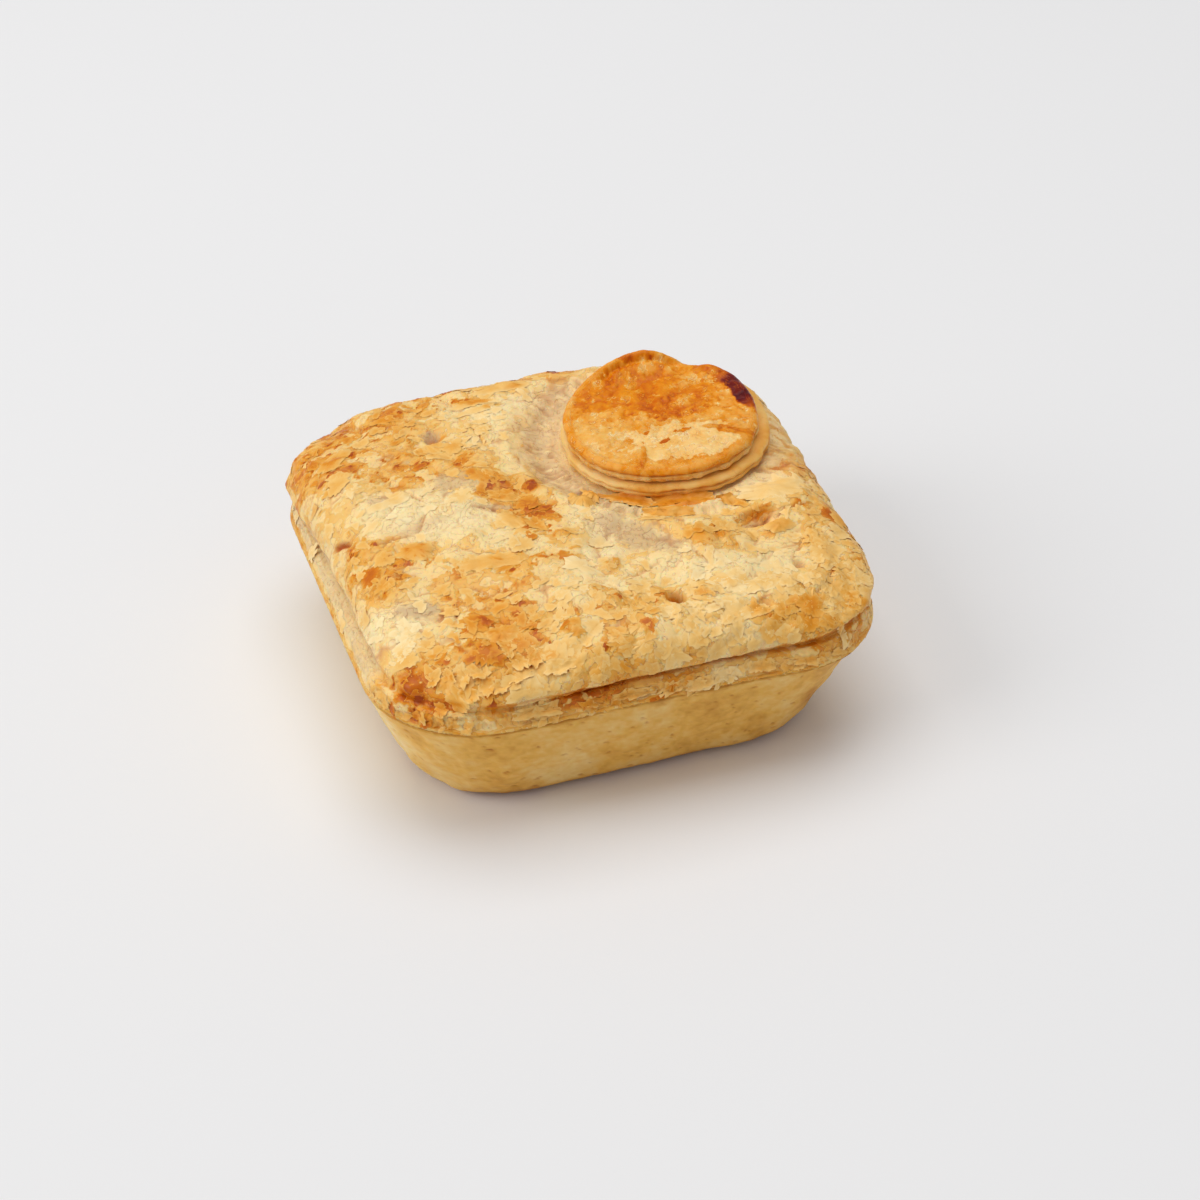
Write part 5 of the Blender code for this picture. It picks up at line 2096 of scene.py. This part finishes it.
@dataclass
class Studio:
    """A pale floor, a soft box above the back, another at the left, and the camera."""

    camera_place: tuple[float, float, float] = (-0.11979, -0.35785, 0.27710)
    camera_right: tuple[float, float, float] = (0.94264, -0.33381, 0.0)
    camera_back: tuple[float, float, float] = (-0.27361, -0.77264, 0.57286)
    lens: float = 64.99
    floor_half: float = 4.0
    floor_tone: tuple[float, ...] = (0.84, 0.84, 0.85, 1.0)
    lamps: tuple[tuple[float, ...], ...] = (
        (0.05, 0.35, 1.8, 1.6, 17.5),
        (-2.4, 0.0, 1.6, 1.6, 29.6),
    )
    lamp_tone: tuple[float, ...] = (1.0, 0.99, 0.97)
    sky: float = 0.40
    sky_tone: tuple[float, ...] = (0.98, 0.985, 1.0, 1.0)

    def build(self) -> None:
        """Sets up the floor, the lights and the camera."""
        self.floor()
        self.lights()
        self.camera()

    def floor(self) -> None:
        """Lays the floor."""
        half = self.floor_half
        corners = [(-half, -half, 0.0), (half, -half, 0.0), (half, half, 0.0), (-half, half, 0.0)]
        mesh = bpy.data.meshes.new("floor")
        mesh.from_pydata(corners, [], [(0, 1, 2, 3)])
        paint = bpy.data.materials.new("floor_paint")
        paint.use_nodes = True
        shader = paint.node_tree.nodes["Principled BSDF"]
        shader.inputs["Base Color"].default_value = self.floor_tone
        shader.inputs["Roughness"].default_value = 0.8
        shader.inputs["Specular IOR Level"].default_value = 0.2
        mesh.materials.append(paint)
        floor = bpy.data.objects.new("floor", mesh)
        bpy.context.scene.collection.objects.link(floor)

    def lights(self) -> None:
        """Hangs the two soft boxes, each given by its place, its width and its power, and sets the sky."""
        for number, (x, y, z, width, power) in enumerate(self.lamps):
            light = bpy.data.lights.new(f"soft_box_{number}", "AREA")
            light.size = width
            light.energy = power
            light.color = self.lamp_tone
            lamp = bpy.data.objects.new(light.name, light)
            lamp.location = (x, y, z)
            lamp.rotation_euler = Vector((x, y, z)).to_track_quat("Z", "Y").to_euler()
            bpy.context.scene.collection.objects.link(lamp)
        world = bpy.data.worlds.new("sky")
        world.use_nodes = True
        background = world.node_tree.nodes["Background"]
        background.inputs["Color"].default_value = self.sky_tone
        background.inputs["Strength"].default_value = self.sky
        bpy.context.scene.world = world
        bpy.context.scene.view_settings.view_transform = "Standard"

    def camera(self) -> None:
        """Puts the camera where the pie is seen from above its front-left corner."""
        lens = bpy.data.cameras.new("camera")
        lens.sensor_width = 36.0
        lens.lens = self.lens
        lens.clip_start = 0.01
        right, back = Vector(self.camera_right), Vector(self.camera_back)
        axes = Matrix((right, back.cross(right), back)).transposed().to_4x4()
        camera = bpy.data.objects.new("camera", lens)
        camera.matrix_world = Matrix.Translation(self.camera_place) @ axes
        bpy.context.scene.collection.objects.link(camera)
        bpy.context.scene.camera = camera


def main() -> None:
    """Builds the pie piece by piece, then the studio around it."""
    logging.basicConfig(level=logging.INFO, format="%(name)s %(message)s", stream=sys.stdout)
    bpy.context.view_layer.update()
    finishes = Finishes.make()
    ShortcrustCase().build(finishes.case)
    lid = PuffLid()
    guide = lid.build(finishes.puff)
    lower = PastryRound(
        "lower_round_skin", "lower_round", "pale_puff", 22.2, 2.5, (1.1, 0.2), 0.3, 0.0, 0.10, 160
    )
    lower.build(finishes.pale, pale_baking)
    upper = PastryRound(
        "upper_round_skin", "upper_round", "glazed_puff", 20.6, 3.2, (0.0, 0.0), 3.1, crest=2.0, blister=0.40
    )
    upper.build(finishes.glaze, GlazedBaking())
    for scatter in FLAKES:
        scatter.build(guide, finishes.flake)
    lay_sheets(lid, guide, finishes.flake)
    bpy.data.objects.remove(guide)
    Studio().build()


if __name__ == "__main__":
    main()
